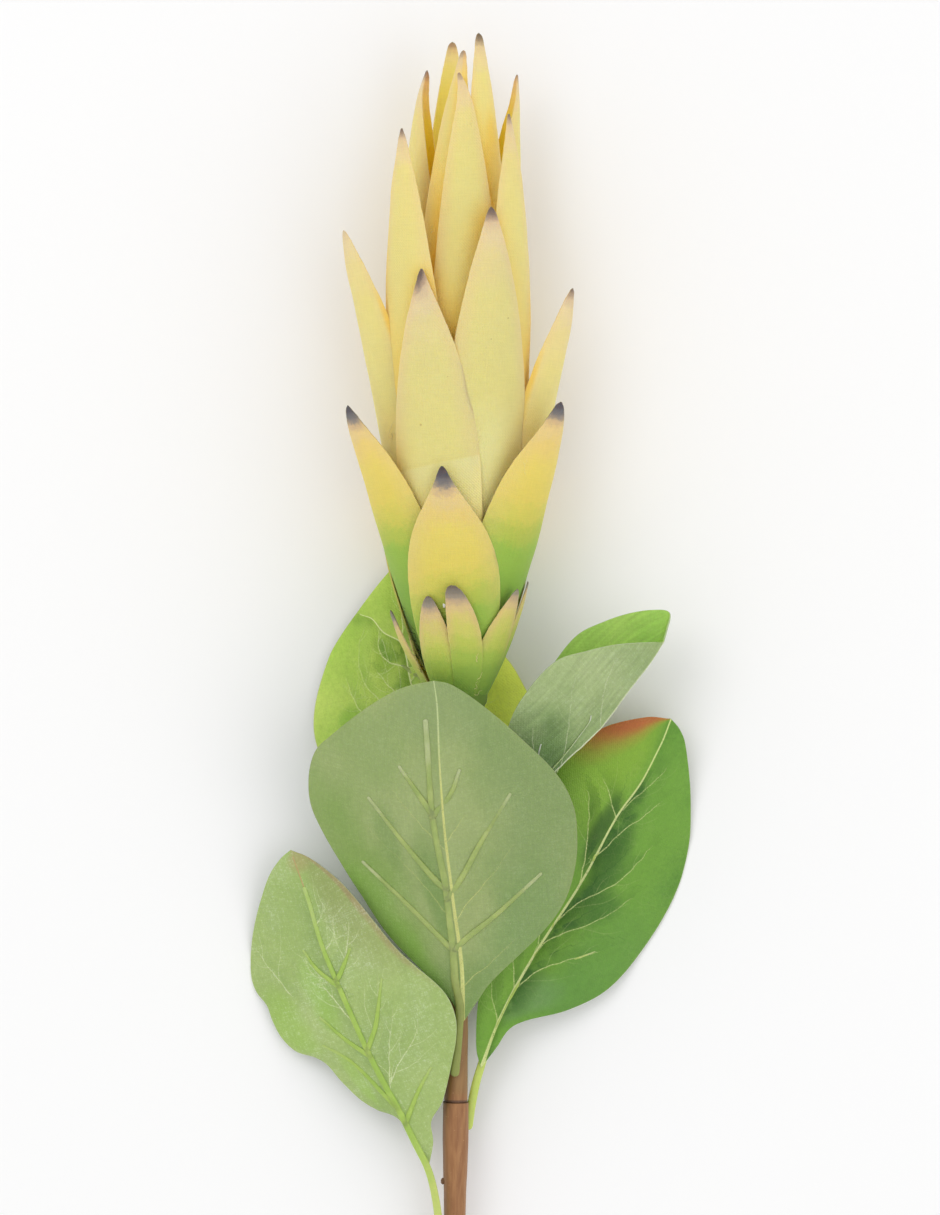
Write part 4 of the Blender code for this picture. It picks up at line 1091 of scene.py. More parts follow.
def stem_plastic(name):
    """Moulded stem: warm brown with painted shade darkening its left side, more olive above the joint away
    from that side, with long faint streaks and specks.
    """
    plastic = Finish(name)
    place = plastic.place()
    stretch = plastic.node("ShaderNodeMapping", {}, {"Vector": place, "Scale": (900.0, 70.0, 900.0)})
    streaks = plastic.noise(stretch, 1.0, 3.0) - 0.5
    broad = plastic.uneven(60, 2.0)
    specks = plastic.noise(place, 1500, 1.0)
    side = plastic.attribute("side")
    height = place.part("Y") - BASE_Y
    above_joint = height.eased(JOINT_HEIGHT - 0.0006, JOINT_HEIGHT + 0.0039)
    ring = abs(height - JOINT_HEIGHT + broad * 0.0008).eased(0.0007, 0.0002)
    colour = plastic.mix((streaks + 0.5).eased(0.25, 0.75), paint(140, 92, 52), paint(168, 120, 74))
    for share, dye in (
        # Painted shade darkening the stem's left side
        ((side + broad * 0.9).eased(0.15, 0.95) * 0.5, (112, 84, 50)),
        (above_joint * (side + broad).eased(0.9, -0.2) * 0.4, (120, 104, 54)),
        (ring * 0.75, (70, 46, 34)),
        (specks.eased(0.72, 0.80) * 0.5, (205, 160, 110)),
        (specks.eased(0.26, 0.20) * 0.5, (90, 55, 38)),
        (height.eased(CUT_HEIGHT + 0.0006, CUT_HEIGHT) * 0.7, (176, 140, 100)),
    ):
        colour = plastic.mix(share, colour, paint(*dye))
    plastic.give("Base Color", colour)
    plastic.give("Roughness", 0.48 + broad * 0.2)
    plastic.set_bump(streaks * 0.8 + specks * 0.3, 0.00010, 0.6)
    return plastic.material


def plain_finish(name, colour, roughness, speckle, scale, metallic=0.0):
    """A small part's finish: one colour with a fine mottle and its relief."""
    made = Finish(name, roughness)
    made.give("Metallic", metallic)
    mottle = made.uneven(scale)
    made.give("Base Color", made.shaded(paint(*colour), 1 + mottle * speckle))
    made.set_bump(mottle, 0.00012, 0.6)
    return made.material


class SmoothLine:
    """A smooth line through chosen points, read by its share of length from 0 to 1."""

    STEPS_PER_SPAN = 12

    def __init__(self, points):
        points = [Vector(point) for point in points]
        first = points[0] * 2 - points[1]
        last = points[-1] * 2 - points[-2]
        knots = [first, *points, last]
        self.line = [points[0]]
        for index in range(1, len(knots) - 2):
            before, start, end, after = knots[index - 1:index + 3]
            for step in range(1, self.STEPS_PER_SPAN + 1):
                self.line.append(self.between(before, start, end, after, step / self.STEPS_PER_SPAN))
        self.lengths = [0.0]
        for here, there in zip(self.line, self.line[1:]):
            self.lengths.append(self.lengths[-1] + (there - here).length)

    @staticmethod
    def between(before, start, end, after, share):
        """Catmull-Rom between start and end."""
        turn_out = (end - before) * 0.5
        turn_in = (after - start) * 0.5
        square = share * share
        cube = square * share
        return (
            start * (2 * cube - 3 * square + 1)
            + turn_out * (cube - 2 * square + share)
            + end * (3 * square - 2 * cube)
            + turn_in * (cube - square)
        )

    def at(self, share):
        wanted = clamp(share) * self.lengths[-1]
        index = clamp(bisect.bisect_left(self.lengths, wanted), 1, len(self.lengths) - 1)
        span = self.lengths[index] - self.lengths[index - 1]
        part = (wanted - self.lengths[index - 1]) / span if span else 0.0
        return self.line[index - 1].lerp(self.line[index], part)

    def heading(self, share):
        step = 0.01
        return (self.at(share + step) - self.at(share - step)).normalized()

    def length(self):
        return self.lengths[-1]


def on_surface(point):
    """From the head's base to the whole flower's place."""
    return Vector((point.x + BASE_X, point.y + BASE_Y, point.z))


def placed(line):
    """A function that gives a line's point in the whole flower's place."""
    return lambda share: on_surface(line.at(share))


def laid_down(point):
    """From the head's own upright frame, front at -Y, to the whole flower's place."""
    return Vector((point.x + BASE_X, point.z + BASE_Y, HEAD_HEIGHT - point.y))


def wander_at(point, scale, seed=0.0):
    """A smooth random number between about -1 and 1."""
    return noise.noise(point * scale + Vector((seed, seed * 0.7, -seed)))


def bract_radius(radii, share):
    """Four radii at even heights, as a cubic Bezier."""
    rest = 1 - share
    foot, low, high, tip = radii
    return rest ** 3 * foot + 3 * rest ** 2 * share * low + 3 * rest * share ** 2 * high + share ** 3 * tip


def bract_half_width(bract, share):
    if share < WIDEST_AT:
        narrowing = ((WIDEST_AT - share) / WIDEST_AT) ** 2
        return bract.width / 2 * (1 - (1 - FOOT_SHARE) * narrowing)
    run = (share - WIDEST_AT) / (1 - WIDEST_AT)
    from_tip = (1 - share) * (bract.tip - bract.foot)
    rounded = bract.blunt * run * math.sqrt(1 - math.exp(-from_tip / TIP_ROUNDING))
    kept = 1 - bract.narrow * math.exp(-(from_tip / NARROW_LENGTH) ** 2)
    return bract.width / 2 * (1 - run ** OUTLINE_POWER) * kept + rounded


def below_crease(bract, height, across):
    """Millimetres below the bract's glue crease, which rises to the right. Without a crease it is 0."""
    if not bract.crease:
        return 0.0
    return (bract.crease + CREASE_RISE * across - height) * MILLIMETRES


def bract_point(bract, share, across, seed):
    """A point of the bract's surface in the head's own frame: Z is the axis and -Y is the front."""
    height = bract.foot + (bract.tip - bract.foot) * share
    radius = bract_radius(bract.radii, share)
    step = 0.01
    rise = (bract.tip - bract.foot) * 2 * step
    spread = bract_radius(bract.radii, share + step) - bract_radius(bract.radii, share - step)
    slope = math.hypot(rise, spread)
    out_of_face = rise / slope
    up_in_face = -spread / slope

    roll = bract.roll * (1 - (1 - TIP_ROLL_SHARE) * share ** 2)
    half_width = bract_half_width(bract, share)
    place = Vector((across * half_width, height, 0))
    ragged = RAGGED_EDGE * wander_at(place, 900, seed) * abs(across) ** 6
    angle = (across * half_width + ragged) / roll
    twist = math.radians(bract.twist) * share ** 2
    straight = roll * math.sin(angle)
    sunk = roll * (1 - math.cos(angle))
    hooked = max(share - HOOK_FROM, 0) / (1 - HOOK_FROM)
    sideways = straight * math.cos(twist) - sunk * math.sin(twist)
    sideways += bract.lean * share ** 2 + bract.hook * hooked ** 2
    inwards = straight * math.sin(twist) + sunk * math.cos(twist)

    free = min(share * 3, 1.0)
    edge_wave = EDGE_WAVE * wander_at(Vector((across, height * 60, 3)), 1.0, seed) * abs(across) ** 2
    buckle = BUCKLE * wander_at(place, 110, seed)
    inwards += (edge_wave + buckle) * free
    if bract.crease:
        inwards += CREASE_RIDGE * math.exp(-(below_crease(bract, height, across) / CREASE_HALF_WIDTH) ** 2)
    radius -= inwards * out_of_face
    height -= inwards * up_in_face
    turn = math.radians(bract.turn)
    return Vector((
        radius * math.sin(turn) + sideways * math.cos(turn),
        -radius * math.cos(turn) + sideways * math.sin(turn),
        height,
    ))


def point_tree(points):
    """A tree in which the nearest of some points is found quickly."""
    tree = kdtree.KDTree(len(points))
    for index, point in enumerate(points):
        tree.insert(point, index)
    tree.balance()
    return tree


def unrolled(point):
    """A point of the head on a flat sheet: round the axis, and along it."""
    return Vector((math.atan2(point.x, -point.y) * GLOW_RADIUS, 0.0, point.z))


def edge_points(rows):
    """A tree of the outlines of some rows, unrolled."""
    found = []
    for row in rows:
        for bract in row:
            steps = round((bract.tip - bract.foot) / GLOW_SPACING)
            for step in range(steps + 1):
                found += [unrolled(bract_point(bract, step / steps, across, 0.0)) for across in (-1, 1)]
    return point_tree(found)


def glow_in_gap(covers, point):
    """How much painted golden light a point gets, by how deep it lies between the edges over it: weak beside
    one edge, strong between two.
    """
    near = covers.find_range(unrolled(point), GLOW_REACH * GLOW_CUTOFF)
    total = sum(math.exp(-(distance / GLOW_REACH) ** 2) for _, _, distance in near)
    beside_one_edge = GLOW_REACH * math.sqrt(math.pi) / GLOW_SPACING
    return min(total / beside_one_edge * 0.5, 1.0) ** GLOW_POWER


def finer_at_edges(place):
    """Moves the lines of a grid from -1 to 1 towards both its edges."""
    return place * (1.3 - 0.3 * place * place)


def finer_at_tip(share):
    """Moves the lines of a grid from 0 to 1 towards the tip, where the outline bends most."""
    return share + 0.10 * math.sin(math.pi * share)


def finest_at_tip(share):
    """The same for a bract, whose tip is narrow and round."""
    return 1 - (1 - share) ** 1.35


def empty_shape(numbers):
    """A bmesh with the named numbers kept at its vertices."""
    shape = bmesh.new()
    for name in numbers:
        shape.verts.layers.float.new(name)
    return shape


def empty_sheet(numbers):
    """The same, with a place along the threads kept at its corners."""
    shape = empty_shape(numbers)
    shape.loops.layers.uv.new("threads")
    return shape


def sheet_into(shape, steps, describe):
    """Adds a cloth sheet. describe gives a point, its place along the threads and the numbers kept there."""
    along_steps, across_steps = steps
    made = bmesh.ops.create_grid(shape, x_segments=across_steps, y_segments=along_steps, size=1.0)
    threads = shape.loops.layers.uv["threads"]
    layers = {layer.name: layer for layer in shape.verts.layers.float.values()}
    faces = {face for vertex in made["verts"] for face in vertex.link_faces}
    for vertex in made["verts"]:
        along = finer_at_tip((vertex.co.y + 1) / 2)
        across = finer_at_edges(vertex.co.x)
        vertex.co, thread_place, numbers = describe(along, across)
        for name, number in numbers.items():
            vertex[layers[name]] = number
        for loop in vertex.link_loops:
            loop[threads].uv = thread_place
    bmesh.ops.remove_doubles(shape, verts=made["verts"], dist=POINT_WELD)
    return [face for face in faces if face.is_valid]


def thicken(shape, faces, back_name):
    """Gives a sheet its wall, centred on the sheet, with the number 1 on its back face."""
    back = shape.verts.layers.float[back_name]
    shape.normal_update()
    front = {vertex for face in faces for vertex in face.verts}
    half = {tuple(vertex.co): vertex.normal * (CLOTH_THICKNESS / 2) for vertex in front}
    made = bmesh.ops.extrude_face_region(shape, geom=faces, use_keep_orig=True)
    for item in made["geom"]:
        if isinstance(item, bmesh.types.BMVert):
            item.co -= half[tuple(item.co)]
            item[back] = 1.0 - item[back]
    for vertex in front:
        vertex.co += half[tuple(vertex.co)]


def keep_piece(name, shape, material, nodes, sharp_angle=60):
    """Makes a shape an object: normals out, smooth shading, its finish, and its place in the frame."""
    bmesh.ops.recalc_face_normals(shape, faces=shape.faces)
    mesh = bpy.data.meshes.new(name)
    shape.to_mesh(mesh)
    shape.free()
    mesh.shade_smooth()
    mesh.set_sharp_from_angle(angle=math.radians(sharp_angle))
    mesh.materials.append(material)
    piece = bpy.data.objects.new(name, mesh)
    bpy.context.scene.collection.objects.link(piece)
    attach(piece, "root")
    if nodes:
        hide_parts(*nodes)
    return piece


BRACT_NUMBERS = (
    "from_tip", "across", "inner", "warm", "grey", "yellow", "turned_out", "gold_edge", "crease", "lopsided",
    "glow"
)


def bract_sheet(bract, seed, covers):
    """The function that describes one bract's sheet. Painted golden light gathers between the edges in
    covers.
    """
    length = bract.tip - bract.foot
    to_the_right = math.copysign(1.0, math.cos(math.radians(bract.turn)))

    def describe(along, across):
        along = finest_at_tip(along)
        point = bract_point(bract, along, across, seed)
        thread_place = (across * bract_half_width(bract, along), length * along)
        rightwards = across * to_the_right
        numbers = {
            "from_tip": (1 - along) * length * MILLIMETRES,
            "across": across,
            "warm": bract.warm,
            "grey": bract.grey - bract.skew * rightwards,
            "yellow": bract.yellow,
            "turned_out": rightwards * bract.turned_out,
            "gold_edge": rightwards * bract.gold_edge,
            "crease": below_crease(bract, point.z, across),
            "lopsided": bract.lopsided,
            "glow": glow_in_gap(covers, point) if covers else 0.0,
        }
        point = laid_down(point)
        point.z = max(point.z, LOWEST_CLOTH)
        return point, thread_place, numbers

    return describe


def bract_row(name, row, steps, covered_by, first_seed, material, slot, nodes):
    """A row of bracts in one mesh. covered_by gives the rows that lie over it."""
    shape = empty_sheet(BRACT_NUMBERS)
    covers = edge_points(covered_by) if covered_by else None
    for index, bract in enumerate(row):
        describe = bract_sheet(bract, first_seed + index * BRACT_SEED_STEP, covers)
        thicken(shape, sheet_into(shape, steps, describe), "inner")
    return keep_piece(name, shape, material, nodes)


def turned_piece(name, profile, closed, material, slot, nodes):
    """A profile turned about the head's axis and laid down. A ring's profile is closed."""
    shape = empty_sheet(BRACT_NUMBERS)
    outline = [shape.verts.new((radius, 0, height)) for radius, height in profile]
    edges = [shape.edges.new(pair) for pair in zip(outline, outline[1:])]
    if closed:
        edges.append(shape.edges.new((outline[-1], outline[0])))
    turned = {"cent": (0, 0, 0), "axis": (0, 0, 1), "angle": math.tau, "steps": TURNED_SIDES}
    bmesh.ops.spin(shape, geom=outline + edges, use_merge=True, **turned)
    bmesh.ops.remove_doubles(shape, verts=shape.verts, dist=POINT_WELD)
    layers = shape.verts.layers.float
    for vertex in shape.verts:
        vertex[layers["inner"]] = 1.0
        vertex[layers["warm"]] = 1.0
        vertex[layers["from_tip"]] = CORE_DEPTH
        vertex.co = laid_down(vertex.co)
    return keep_piece(name, shape, material, nodes, 40)


BAR_NUMBERS = ("reach", "side")
UPWARDS = Vector((0, 0, 1))


def tube_into(shape, line, radius_at, steps, flatness=1.0, up=UPWARDS, end_roundness=1.0, first_reach=0.0):
    """A closed tube along a line, given as a function of its share. Flatness is its height beside its width,
    up is the way its flat side looks, the roundness of its ends goes from 0, flat, to 1, and first_reach is
    the share of the whole rib at which it begins."""
    steps, sides = steps
    vertices = bmesh.ops.create_grid(shape, x_segments=sides, y_segments=steps, size=1.0)["verts"]
    reach_layer = shape.verts.layers.float["reach"]
    side_layer = shape.verts.layers.float["side"]
    ends = 3
    step = 0.004
    rows = {}
    for vertex in vertices:
        rows.setdefault(round((vertex.co.y + 1) / 2 * steps), []).append(vertex)
    for row in range(steps + 1):
        share = clamp((row - ends) / (steps - 2 * ends))
        heading = (line(min(share + step, 1.0)) - line(max(share - step, 0.0))).normalized()
        radius = radius_at(share)
        beyond_end = max(ends - row, row - steps + ends, 0)
        turn = math.pi / 2 * beyond_end / ends
        forwards = 1 if row > ends else -1
        middle = line(share) + heading * (math.sin(turn) * radius * forwards * end_roundness)
        sideways = heading.cross(up).normalized()
        over = sideways.cross(heading).normalized() * flatness
        for vertex in rows[row]:
            angle = vertex.co.x * math.pi
            vertex[reach_layer] = first_reach + (1 - first_reach) * share
            vertex[side_layer] = -math.sin(angle)
            outwards = sideways * math.sin(angle) + over * math.cos(angle)
            vertex.co = middle + outwards * (radius * math.cos(turn))
    bmesh.ops.remove_doubles(shape, verts=vertices, dist=POINT_WELD / 4)


def share_line(places):
    """A line of places on a leaf, each a share along it and a share across it."""
    return SmoothLine([(along, across, 0) for along, across in places])


def twig_line(blade, vein, share, turn, size):
    """A short branch that bends back towards the way its vein runs."""
    start = vein.at(share)
    ahead = vein.heading(share)
    long = blade.midrib.length()
    wide = blade.half_width(start.x, start.y)
    heading = math.atan2(ahead.y * wide, ahead.x * long) + turn
    reach = TWIG_LENGTH * size * (TWIG_SHORTENING - share)
    places = [start]
    for part, bend in ((0.5, 0.0), (1.0, -0.3 * turn)):
        away = Vector((math.cos(heading + bend) / long, math.sin(heading + bend) / wide, 0))
        place = start + away * (reach * part)
        places.append((clamp(place.x), clamp(place.y, -TWIG_LIMIT, TWIG_LIMIT), 0))
    return SmoothLine(places)


def twig_lines(blade, veins):
    """The twigs of each vein, every other one of TWIGS, with its vein's strength."""
    twigs = []
    for number, (strength, vein) in enumerate(veins):
        for share, turn in TWIGS[number % 2::2]:
            size = 1.0 + 0.4 * math.sin(number * 7 + share * 40)
            twigs.append((strength, twig_line(blade, vein, share, math.radians(turn), size)))
    return twigs


class Veins:
    """Printed veins as close rows of points on the flat blade, so that the nearest is found quickly."""

    def __init__(self, blade, veins, samples, widths, sway):
        self.start_width, self.end_width = widths
        self.strengths = [strength for strength, line in veins]
        self.rows = [self.points(blade, line, samples, sway) for strength, line in veins]
        self.owners = [(index, step) for index, row in enumerate(self.rows) for step in range(len(row))]
        self.tree = point_tree([self.rows[index][step] for index, step in self.owners])

    @staticmethod
    def points(blade, line, samples, sway):
        points = []
        for step in range(samples + 1):
            place = line.at(step / samples)
            point = blade.flat_point(place.x, place.y)
            swayed = [wander_at(point, VEIN_SWAY_SCALE, seed) for seed in (3.0, 9.0)]
            points.append(point + Vector((*swayed, 0.0)) * sway)
        return points

    def nearest(self, point):
        """Signed distance to the nearest vein, then its strength and its width there."""
        index, step = self.owners[self.tree.find(point)[1]]
        row = self.rows[index]
        last = len(row) - 1
        start = row[max(step - 1, 0)]
        span = row[min(step + 1, last)] - start
        offset = point - start
        part = clamp(offset.dot(span) / span.length_squared)
        away = (offset - span * part).length
        signed = math.copysign(away, span.x * offset.y - span.y * offset.x)
        run = step / last
        strength = self.strengths[index] * (1 - VEIN_FADING * run ** 2)
        return signed, strength, part_way(self.start_width, self.end_width, run)


class Blade:
    """The surface of one leaf between its midrib and its margins. A side is -1 for left and 1 for right."""

    def __init__(self, leaf, seed):
        self.leaf = leaf
        self.seed = seed
        self.midrib = SmoothLine(leaf.midrib)
        base = leaf.midrib[0]
        tip = leaf.midrib[-1]
        self.margins = {-1: SmoothLine((base, *leaf.left, tip)), 1: SmoothLine((base, *leaf.right, tip))}
        midvein = [(1.0, share_line(leaf.midvein))]
        veins = [(strength, share_line(places)) for strength, places in leaf.veins]
        self.main = Veins(self, midvein, VEIN_SAMPLES, leaf.midvein_widths, 0.0)
        self.sides = Veins(self, veins, VEIN_SAMPLES, leaf.vein_widths, VEIN_SWAY)
        self.twigs = Veins(self, twig_lines(self, veins), TWIG_SAMPLES, leaf.vein_widths, VEIN_SWAY)

    @staticmethod
    def side_of(across):
        return -1 if across < 0 else 1

    def half_width(self, along, across):
        margin = self.margins[self.side_of(across)]
        return max((margin.at(along) - self.midrib.at(along)).length, NARROWEST_HALF)

    def half_normal(self, along, side):
        """Up from the upper face of one half."""
        along = clamp(along, 0.04, 0.96)
        outwards = self.margins[side].at(along) - self.midrib.at(along)
        return (outwards.cross(self.midrib.heading(along)) * side).normalized() * self.leaf.face

    def flat_point(self, along, across):
        """Base to tip as 0 to 1 along, left margin to right margin as -1 to 1 across."""
        side = self.side_of(across)
        share = abs(across)
        flat = self.midrib.at(along).lerp(self.margins[side].at(along), share)
        belly = self.leaf.belly * 4 * share * (1 - share) * math.sin(math.pi * clamp(along))
        return flat + self.half_normal(along, side) * belly

    def upper_side(self, along, across):
        share = 0.5 + 0.5 * clamp(across * 3, -1.0, 1.0)
        left = self.half_normal(along, -1)
        right = self.half_normal(along, 1)
        return (left * (1 - share) + right * share).normalized()

    def relief(self, along, across, point, main, side):
        """How far the cloth stands out of its plain form, towards its upper face."""
        main_distance = abs(main[0])
        side_distance = abs(side[0])
        nearest = min(main_distance, side_distance)
        groove = MAIN_GROOVE * math.exp(-(main_distance / MAIN_GROOVE_REACH) ** 2)
        groove += SIDE_GROOVE * side[1] * math.exp(-(side_distance / SIDE_GROOVE_REACH) ** 2)
        pillow = self.leaf.pillow * (1 - math.exp(-(nearest / PILLOW_REACH) ** 2)) * (1 - abs(across) ** 4)
        swell = LEAF_SWELL * wander_at(point, 55, self.seed)
        edge = self.leaf.wave * wander_at(point, 90, self.seed + 5) * abs(across) ** 3
        fade = math.sin(math.pi * clamp(along, 0.02, 0.98))
        return (pillow + swell + edge) * fade - groove * min(fade * 4, 1.0)

    def surface(self, along, across):
        """A point of the cloth, and what lies nearest there of the midrib, the side veins and the twigs."""
        flat = self.flat_point(along, across)
        main = self.main.nearest(flat)
        side = self.sides.nearest(flat)
        out = self.relief(along, across, flat, main, side)
        point = flat + self.upper_side(along, across) * out
        point.z = max(point.z, LOWEST_CLOTH)
        return point, main, side, self.twigs.nearest(flat)

    def rib_point(self, along, across, radius):
        """The middle of a moulded rib of that radius, glued to the underside."""
        point = self.surface(along, across)[0]
        return point - self.upper_side(along, across) * (CLOTH_THICKNESS / 2 + radius * RIB_FLATNESS * 0.25)


LEAF_NUMBERS = (
    "along", "across", "under", "main", "main_width", "side", "side_near", "side_width", "strong", "twig",
    "twig_near", "twig_strong"
)


def leaf_blade(blade, material):
    """The cloth of one leaf, with its veins as numbers at the vertices, in millimetres."""
    leaf = blade.leaf

    def describe(along, across):
        point, main, side, twig = blade.surface(along, across)
        reach = (point - blade.midrib.at(along)).length
        numbers = {
            "along": along,
            "across": across,
            "under": 0.0 if leaf.face == UPPER_FACE_UP else 1.0,
            "main": main[0] * MILLIMETRES,
            "main_width": main[2] * MILLIMETRES,
            "side": side[0] * MILLIMETRES,
            "side_near": abs(side[0]) * MILLIMETRES,
            "side_width": side[2] * MILLIMETRES,
            "strong": side[1],
            "twig": twig[0] * MILLIMETRES,
            "twig_near": abs(twig[0]) * MILLIMETRES,
            "twig_strong": twig[1],
        }
        return on_surface(point), (math.copysign(reach, across), blade.midrib.length() * along), numbers

    shape = empty_sheet(LEAF_NUMBERS)
    thicken(shape, sheet_into(shape, LEAF_STEPS, describe), "under")
    keep_piece(f"leaf_{leaf.name}_cloth", shape, material, (f"leaf_{leaf.name}_blade",))


def leaf_rib(blade, material):
    """Petiole and midrib as one tapered bar, with side ribs that grow from it."""
    leaf = blade.leaf
    points = [Vector(point) for point in leaf.petiole]
    for along, across in leaf.rib:
        points.append(blade.rib_point(along, across, part_way(PETIOLE_RADIUS, RIB_END_RADIUS, along)))
    end_radius = RIB_END_RADIUS * leaf.rib_size
    slender = 2.0 - leaf.rib_size * 0.8

    def bar_radius(share):
        return end_radius + (PETIOLE_RADIUS * 1.3 - end_radius) * (1 - share) ** slender

    def side_radius(share):
        return part_way(SIDE_RIB_RADIUS, SIDE_RIB_END_RADIUS, share) * leaf.rib_size

    shape = empty_shape(BAR_NUMBERS)
    outer = blade.upper_side(0.5, 0.0) * -1
    tube_into(shape, placed(SmoothLine(points)), bar_radius, RIB_STEPS, RIB_FLATNESS, outer)
    for places in leaf.side_ribs:
        line = SmoothLine([blade.rib_point(along, across, SIDE_RIB_RADIUS) for along, across in places])
        end_along, end_across = places[-1]
        outer = blade.half_normal(end_along, blade.side_of(end_across)) * -1
        tube_into(
            shape, placed(line), side_radius, SIDE_RIB_STEPS, RIB_FLATNESS, outer, first_reach=SIDE_RIB_REACH
        )
    name = f"leaf_{leaf.name}_moulded_rib"
    keep_piece(name, shape, material, (f"leaf_{leaf.name}_rib",))


def stem_piece(name, points, node, material):
    """A stretch of the stem, as points of its axis with the radius at each."""
    axis = SmoothLine([point[:3] for point in points])
    size = SmoothLine([(point[1], point[3], 0) for point in points])

    def radius_at(share):
        return size.at(share).y + STEM_UNEVENNESS * wander_at(axis.at(share), 160, 2.0)

    shape = empty_shape(BAR_NUMBERS)
    steps = (round(axis.length() / STEM_STEP), STEM_SIDES)
    tube_into(shape, placed(axis), radius_at, steps, end_roundness=STEM_END_ROUNDNESS)
    keep_piece(name, shape, material, (node,))


def lump(name, place, reach, finish, slot):
    """A small uneven lump, round before it is stretched to its reach in X, Y and Z."""
    shape = bmesh.new()
    bmesh.ops.create_icosphere(shape, subdivisions=3, radius=1.0)
    for vertex in shape.verts:
        grown = vertex.co * (1 + LUMP_UNEVENNESS * wander_at(vertex.co, 1.6, place[1] * 900))
        moved = Vector((grown.x * reach[0], grown.y * reach[1], grown.z * reach[2]))
        vertex.co = on_surface(Vector(place) + moved)
    keep_piece(name, shape, finish, ())


def make_head():
    """The rows of bracts from the inside out, each with the core or the sleeve that holds it."""
    cloths = {name: bract_cloth(name, dyes) for name, dyes in BRACT_DYES.items()}
    deep = (cloths["deep_yellow_with_painted_shade"], "yellow_fabric", ("yellow_bracts",))
    yellow = (cloths["yellow"], "yellow_fabric", ("yellow_bracts",))
    green = (cloths["green"], "green_yellow_fabric", ("green_bracts",))
    basal = (cloths["basal"], "basal_fabric", ("basal_bracts",))
    over_inner = (MIDDLE_ROW, OUTER_ROW, GREEN_ROW)
    rows = [
        bract_row("inner_row_bracts", INNER_ROW, BRACT_STEPS, over_inner, 1.0, *deep),
        bract_row("middle_row_bracts", MIDDLE_ROW, BRACT_STEPS, (OUTER_ROW, GREEN_ROW), 50.0, *deep),
        bract_row("outer_row_bracts", OUTER_ROW, BRACT_STEPS, (GREEN_ROW,), 100.0, *yellow),
    ]
    turned_piece("foam_core", FOAM_CORE, False, *yellow)
    rows.append(bract_row("green_row_bracts", GREEN_ROW, BRACT_STEPS, (), 150.0, *green))
    turned_piece("green_row_sleeve", GREEN_SLEEVE, True, *green)
    rows.append(bract_row("basal_row_bracts", BASAL_ROW, BASAL_STEPS, (), 200.0, *basal))
    turned_piece("basal_row_sleeve", BASAL_SLEEVE, True, *basal)
    return rows


def make_leaves():
    ribs = {name: rib_plastic(name, colours) for name, colours in RIB_COLOURS.items()}
    for index, leaf in enumerate(LEAVES):
        blade = Blade(leaf, LEAF_SEED_STEP * (index + 1))
        leaf_blade(blade, leaf_cloth(leaf.name, LOOKS[leaf.name]))
        leaf_rib(blade, ribs[LEAF_RIBS[leaf.name]])


def make_stem():
    brown = stem_plastic("brown_stem_plastic")
    stem_piece("stem_lower_skin", LOWER_STEM, "stem_lower", brown)
    stem_piece("stem_upper_skin", UPPER_STEM, "stem_upper", brown)
    steel = plain_finish("cut_wire", (150, 150, 150), 0.35, 0.2, 900, metallic=1.0)
    shape = empty_shape(BAR_NUMBERS)
    wire = placed(SmoothLine(WIRE_LINE))
    tube_into(shape, wire, lambda share: WIRE_RADIUS, WIRE_STEPS, end_roundness=STEM_END_ROUNDNESS)
    keep_piece("stem_wire_end", shape, steel, ())
    glue = plain_finish("dried_glue", (176, 172, 138), 0.40, 0.7, 1600)
    scar = plain_finish("bud_scar", (112, 80, 52), 0.6, 0.6, 1500)
    lump("stem_glue_scar", *GLUE_SCAR, glue, "stem_plastic")
    lump("stem_bud_scar", *BUD_SCAR, scar, "stem_plastic")


def highest_point(pieces):
    """A function that gives the highest point of some pieces above a place, or None."""
    trees = []
    for piece in pieces:
        corners = [vertex.co.copy() for vertex in piece.data.vertices]
        faces = [face.vertices[:] for face in piece.data.polygons]
        trees.append(bvhtree.BVHTree.FromPolygons(corners, faces))

    def find(x, y):
        hits = [tree.ray_cast(Vector((x, y, 0.2)), Vector((0, 0, -1)))[0] for tree in trees]
        hits = [hit for hit in hits if hit]
        return max(hits, key=lambda hit: hit.z) if hits else None

    return find


def thread_points(start, find, tuft, chance):
    """The line of one thread, which follows the cloth under it unless that is far above its start."""
    turn = math.radians(tuft.turn + tuft.fan * chance.uniform(-1, 1))
    ahead = Vector((math.cos(turn), math.sin(turn), 0))
    beside = Vector((-ahead.y, ahead.x, 0))
    long = tuft.length * chance.uniform(0.5, 1.2)
    points = [start]
    for part in (0.33, 0.66, 1.0):
        bend = beside * (long * 0.25 * chance.uniform(-1, 1))
        here = start + ahead * (long * part) + bend
        under = find(here.x, here.y)
        lift = THREAD_LIFT + THREAD_RISE * part
        here.z = max(here.z, under.z if under and under.z - start.z < THREAD_CLIMB else here.z) + lift
        points.append(here)
    return points


def thread_tufts(name, tufts, find, finish, seed):
    """Frayed threads that start on the cloth and stand out of it a little."""
    chance = random.Random(seed)
    shape = empty_shape(BAR_NUMBERS)
    for tuft in tufts:
        for number in range(tuft.count):
            x = tuft.x + BASE_X + tuft.reach_x * chance.uniform(-1, 1)
            y = tuft.y + BASE_Y + tuft.reach_y * chance.uniform(-1, 1)
            start = find(x, y)
            if start:
                line = SmoothLine(thread_points(start, find, tuft, chance))
                tube_into(shape, line.at, lambda share: THREAD_RADIUS * (1.1 - 0.6 * share), THREAD_STEPS)
    keep_piece(name, shape, finish, ())


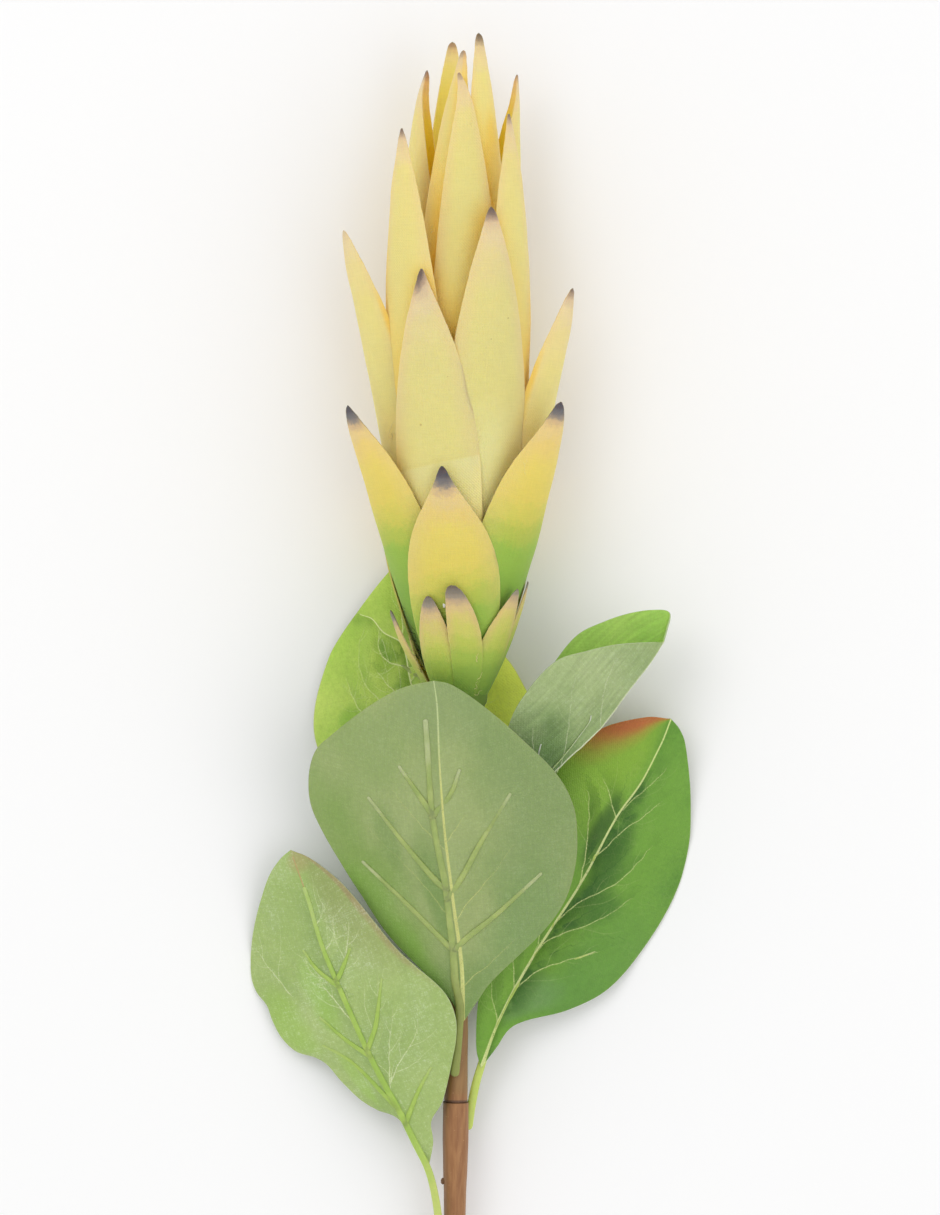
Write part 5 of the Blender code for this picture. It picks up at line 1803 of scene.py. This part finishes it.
def make_frayed_threads(bracts):
    """The frayed threads, and the dot of white glue on the basal bracts."""
    find = highest_point(bracts)
    pale = plain_finish("pale_thread", (236, 222, 160), 0.8, 0.3, 2000)
    dark = plain_finish("dark_thread", (52, 44, 36), 0.8, 0.4, 2000)
    thread_tufts("pale_frayed_threads", PALE_TUFTS, find, pale, 3)
    thread_tufts("dark_frayed_threads", DARK_TUFTS, find, dark, 5)
    x, y = GLUE_DOT_PLACE
    middle = find(x + BASE_X, y + BASE_Y) - Vector((BASE_X, BASE_Y, 0))
    white = plain_finish("white_glue", (240, 240, 234), 0.25, 0.2, 1200)
    lump("glue_dot", middle, GLUE_DOT_REACH, white, "basal_fabric")


def linked(name, data):
    """An object of the studio, put into the scene."""
    made = bpy.data.objects.new(name, data)
    bpy.context.scene.collection.objects.link(made)
    return made


def make_camera():
    camera_data = bpy.data.cameras.new("camera")
    camera_data.lens = LENS
    camera_data.sensor_fit = "VERTICAL"
    camera_data.sensor_height = SENSOR
    camera_data.clip_end = 20.0
    camera = linked("camera", camera_data)
    camera.location = (VIEW_X, VIEW_Y, VIEW_PLANE + LENS * VIEW_HEIGHT / SENSOR)
    bpy.context.scene.camera = camera


def soft_light(name, place, size, power):
    light_data = bpy.data.lights.new(name, "AREA")
    light_data.shape = "DISK"
    light_data.size = size
    light_data.energy = power
    light = linked(name, light_data)
    light.location = place
    light.rotation_euler = (Vector(place) - Vector(LIGHT_AIM)).to_track_quat("Z", "Y").to_euler()


def make_studio():
    floor_shape = bmesh.new()
    bmesh.ops.create_grid(floor_shape, x_segments=1, y_segments=1, size=FLOOR_REACH)
    floor_mesh = bpy.data.meshes.new("studio_floor")
    floor_shape.to_mesh(floor_mesh)
    floor_shape.free()
    floor = linked("studio_floor", floor_mesh)
    paper = Finish("floor_paper", roughness=0.9)
    paper.give("Base Color", (0.97, 0.97, 0.97, 1.0))
    floor.data.materials.append(paper.material)
    world = bpy.data.worlds.new("studio")
    world.use_nodes = True
    background = world.node_tree.nodes["Background"]
    background.inputs["Color"].default_value = (1.0, 1.0, 1.0, 1.0)
    background.inputs["Strength"].default_value = SKY_STRENGTH
    bpy.context.scene.world = world
    bpy.context.scene.view_settings.view_transform = "Standard"
    for light in LIGHTS:
        soft_light(*light)


bracts = make_head()
make_frayed_threads(bracts)
make_leaves()
make_stem()
make_studio()
make_camera()
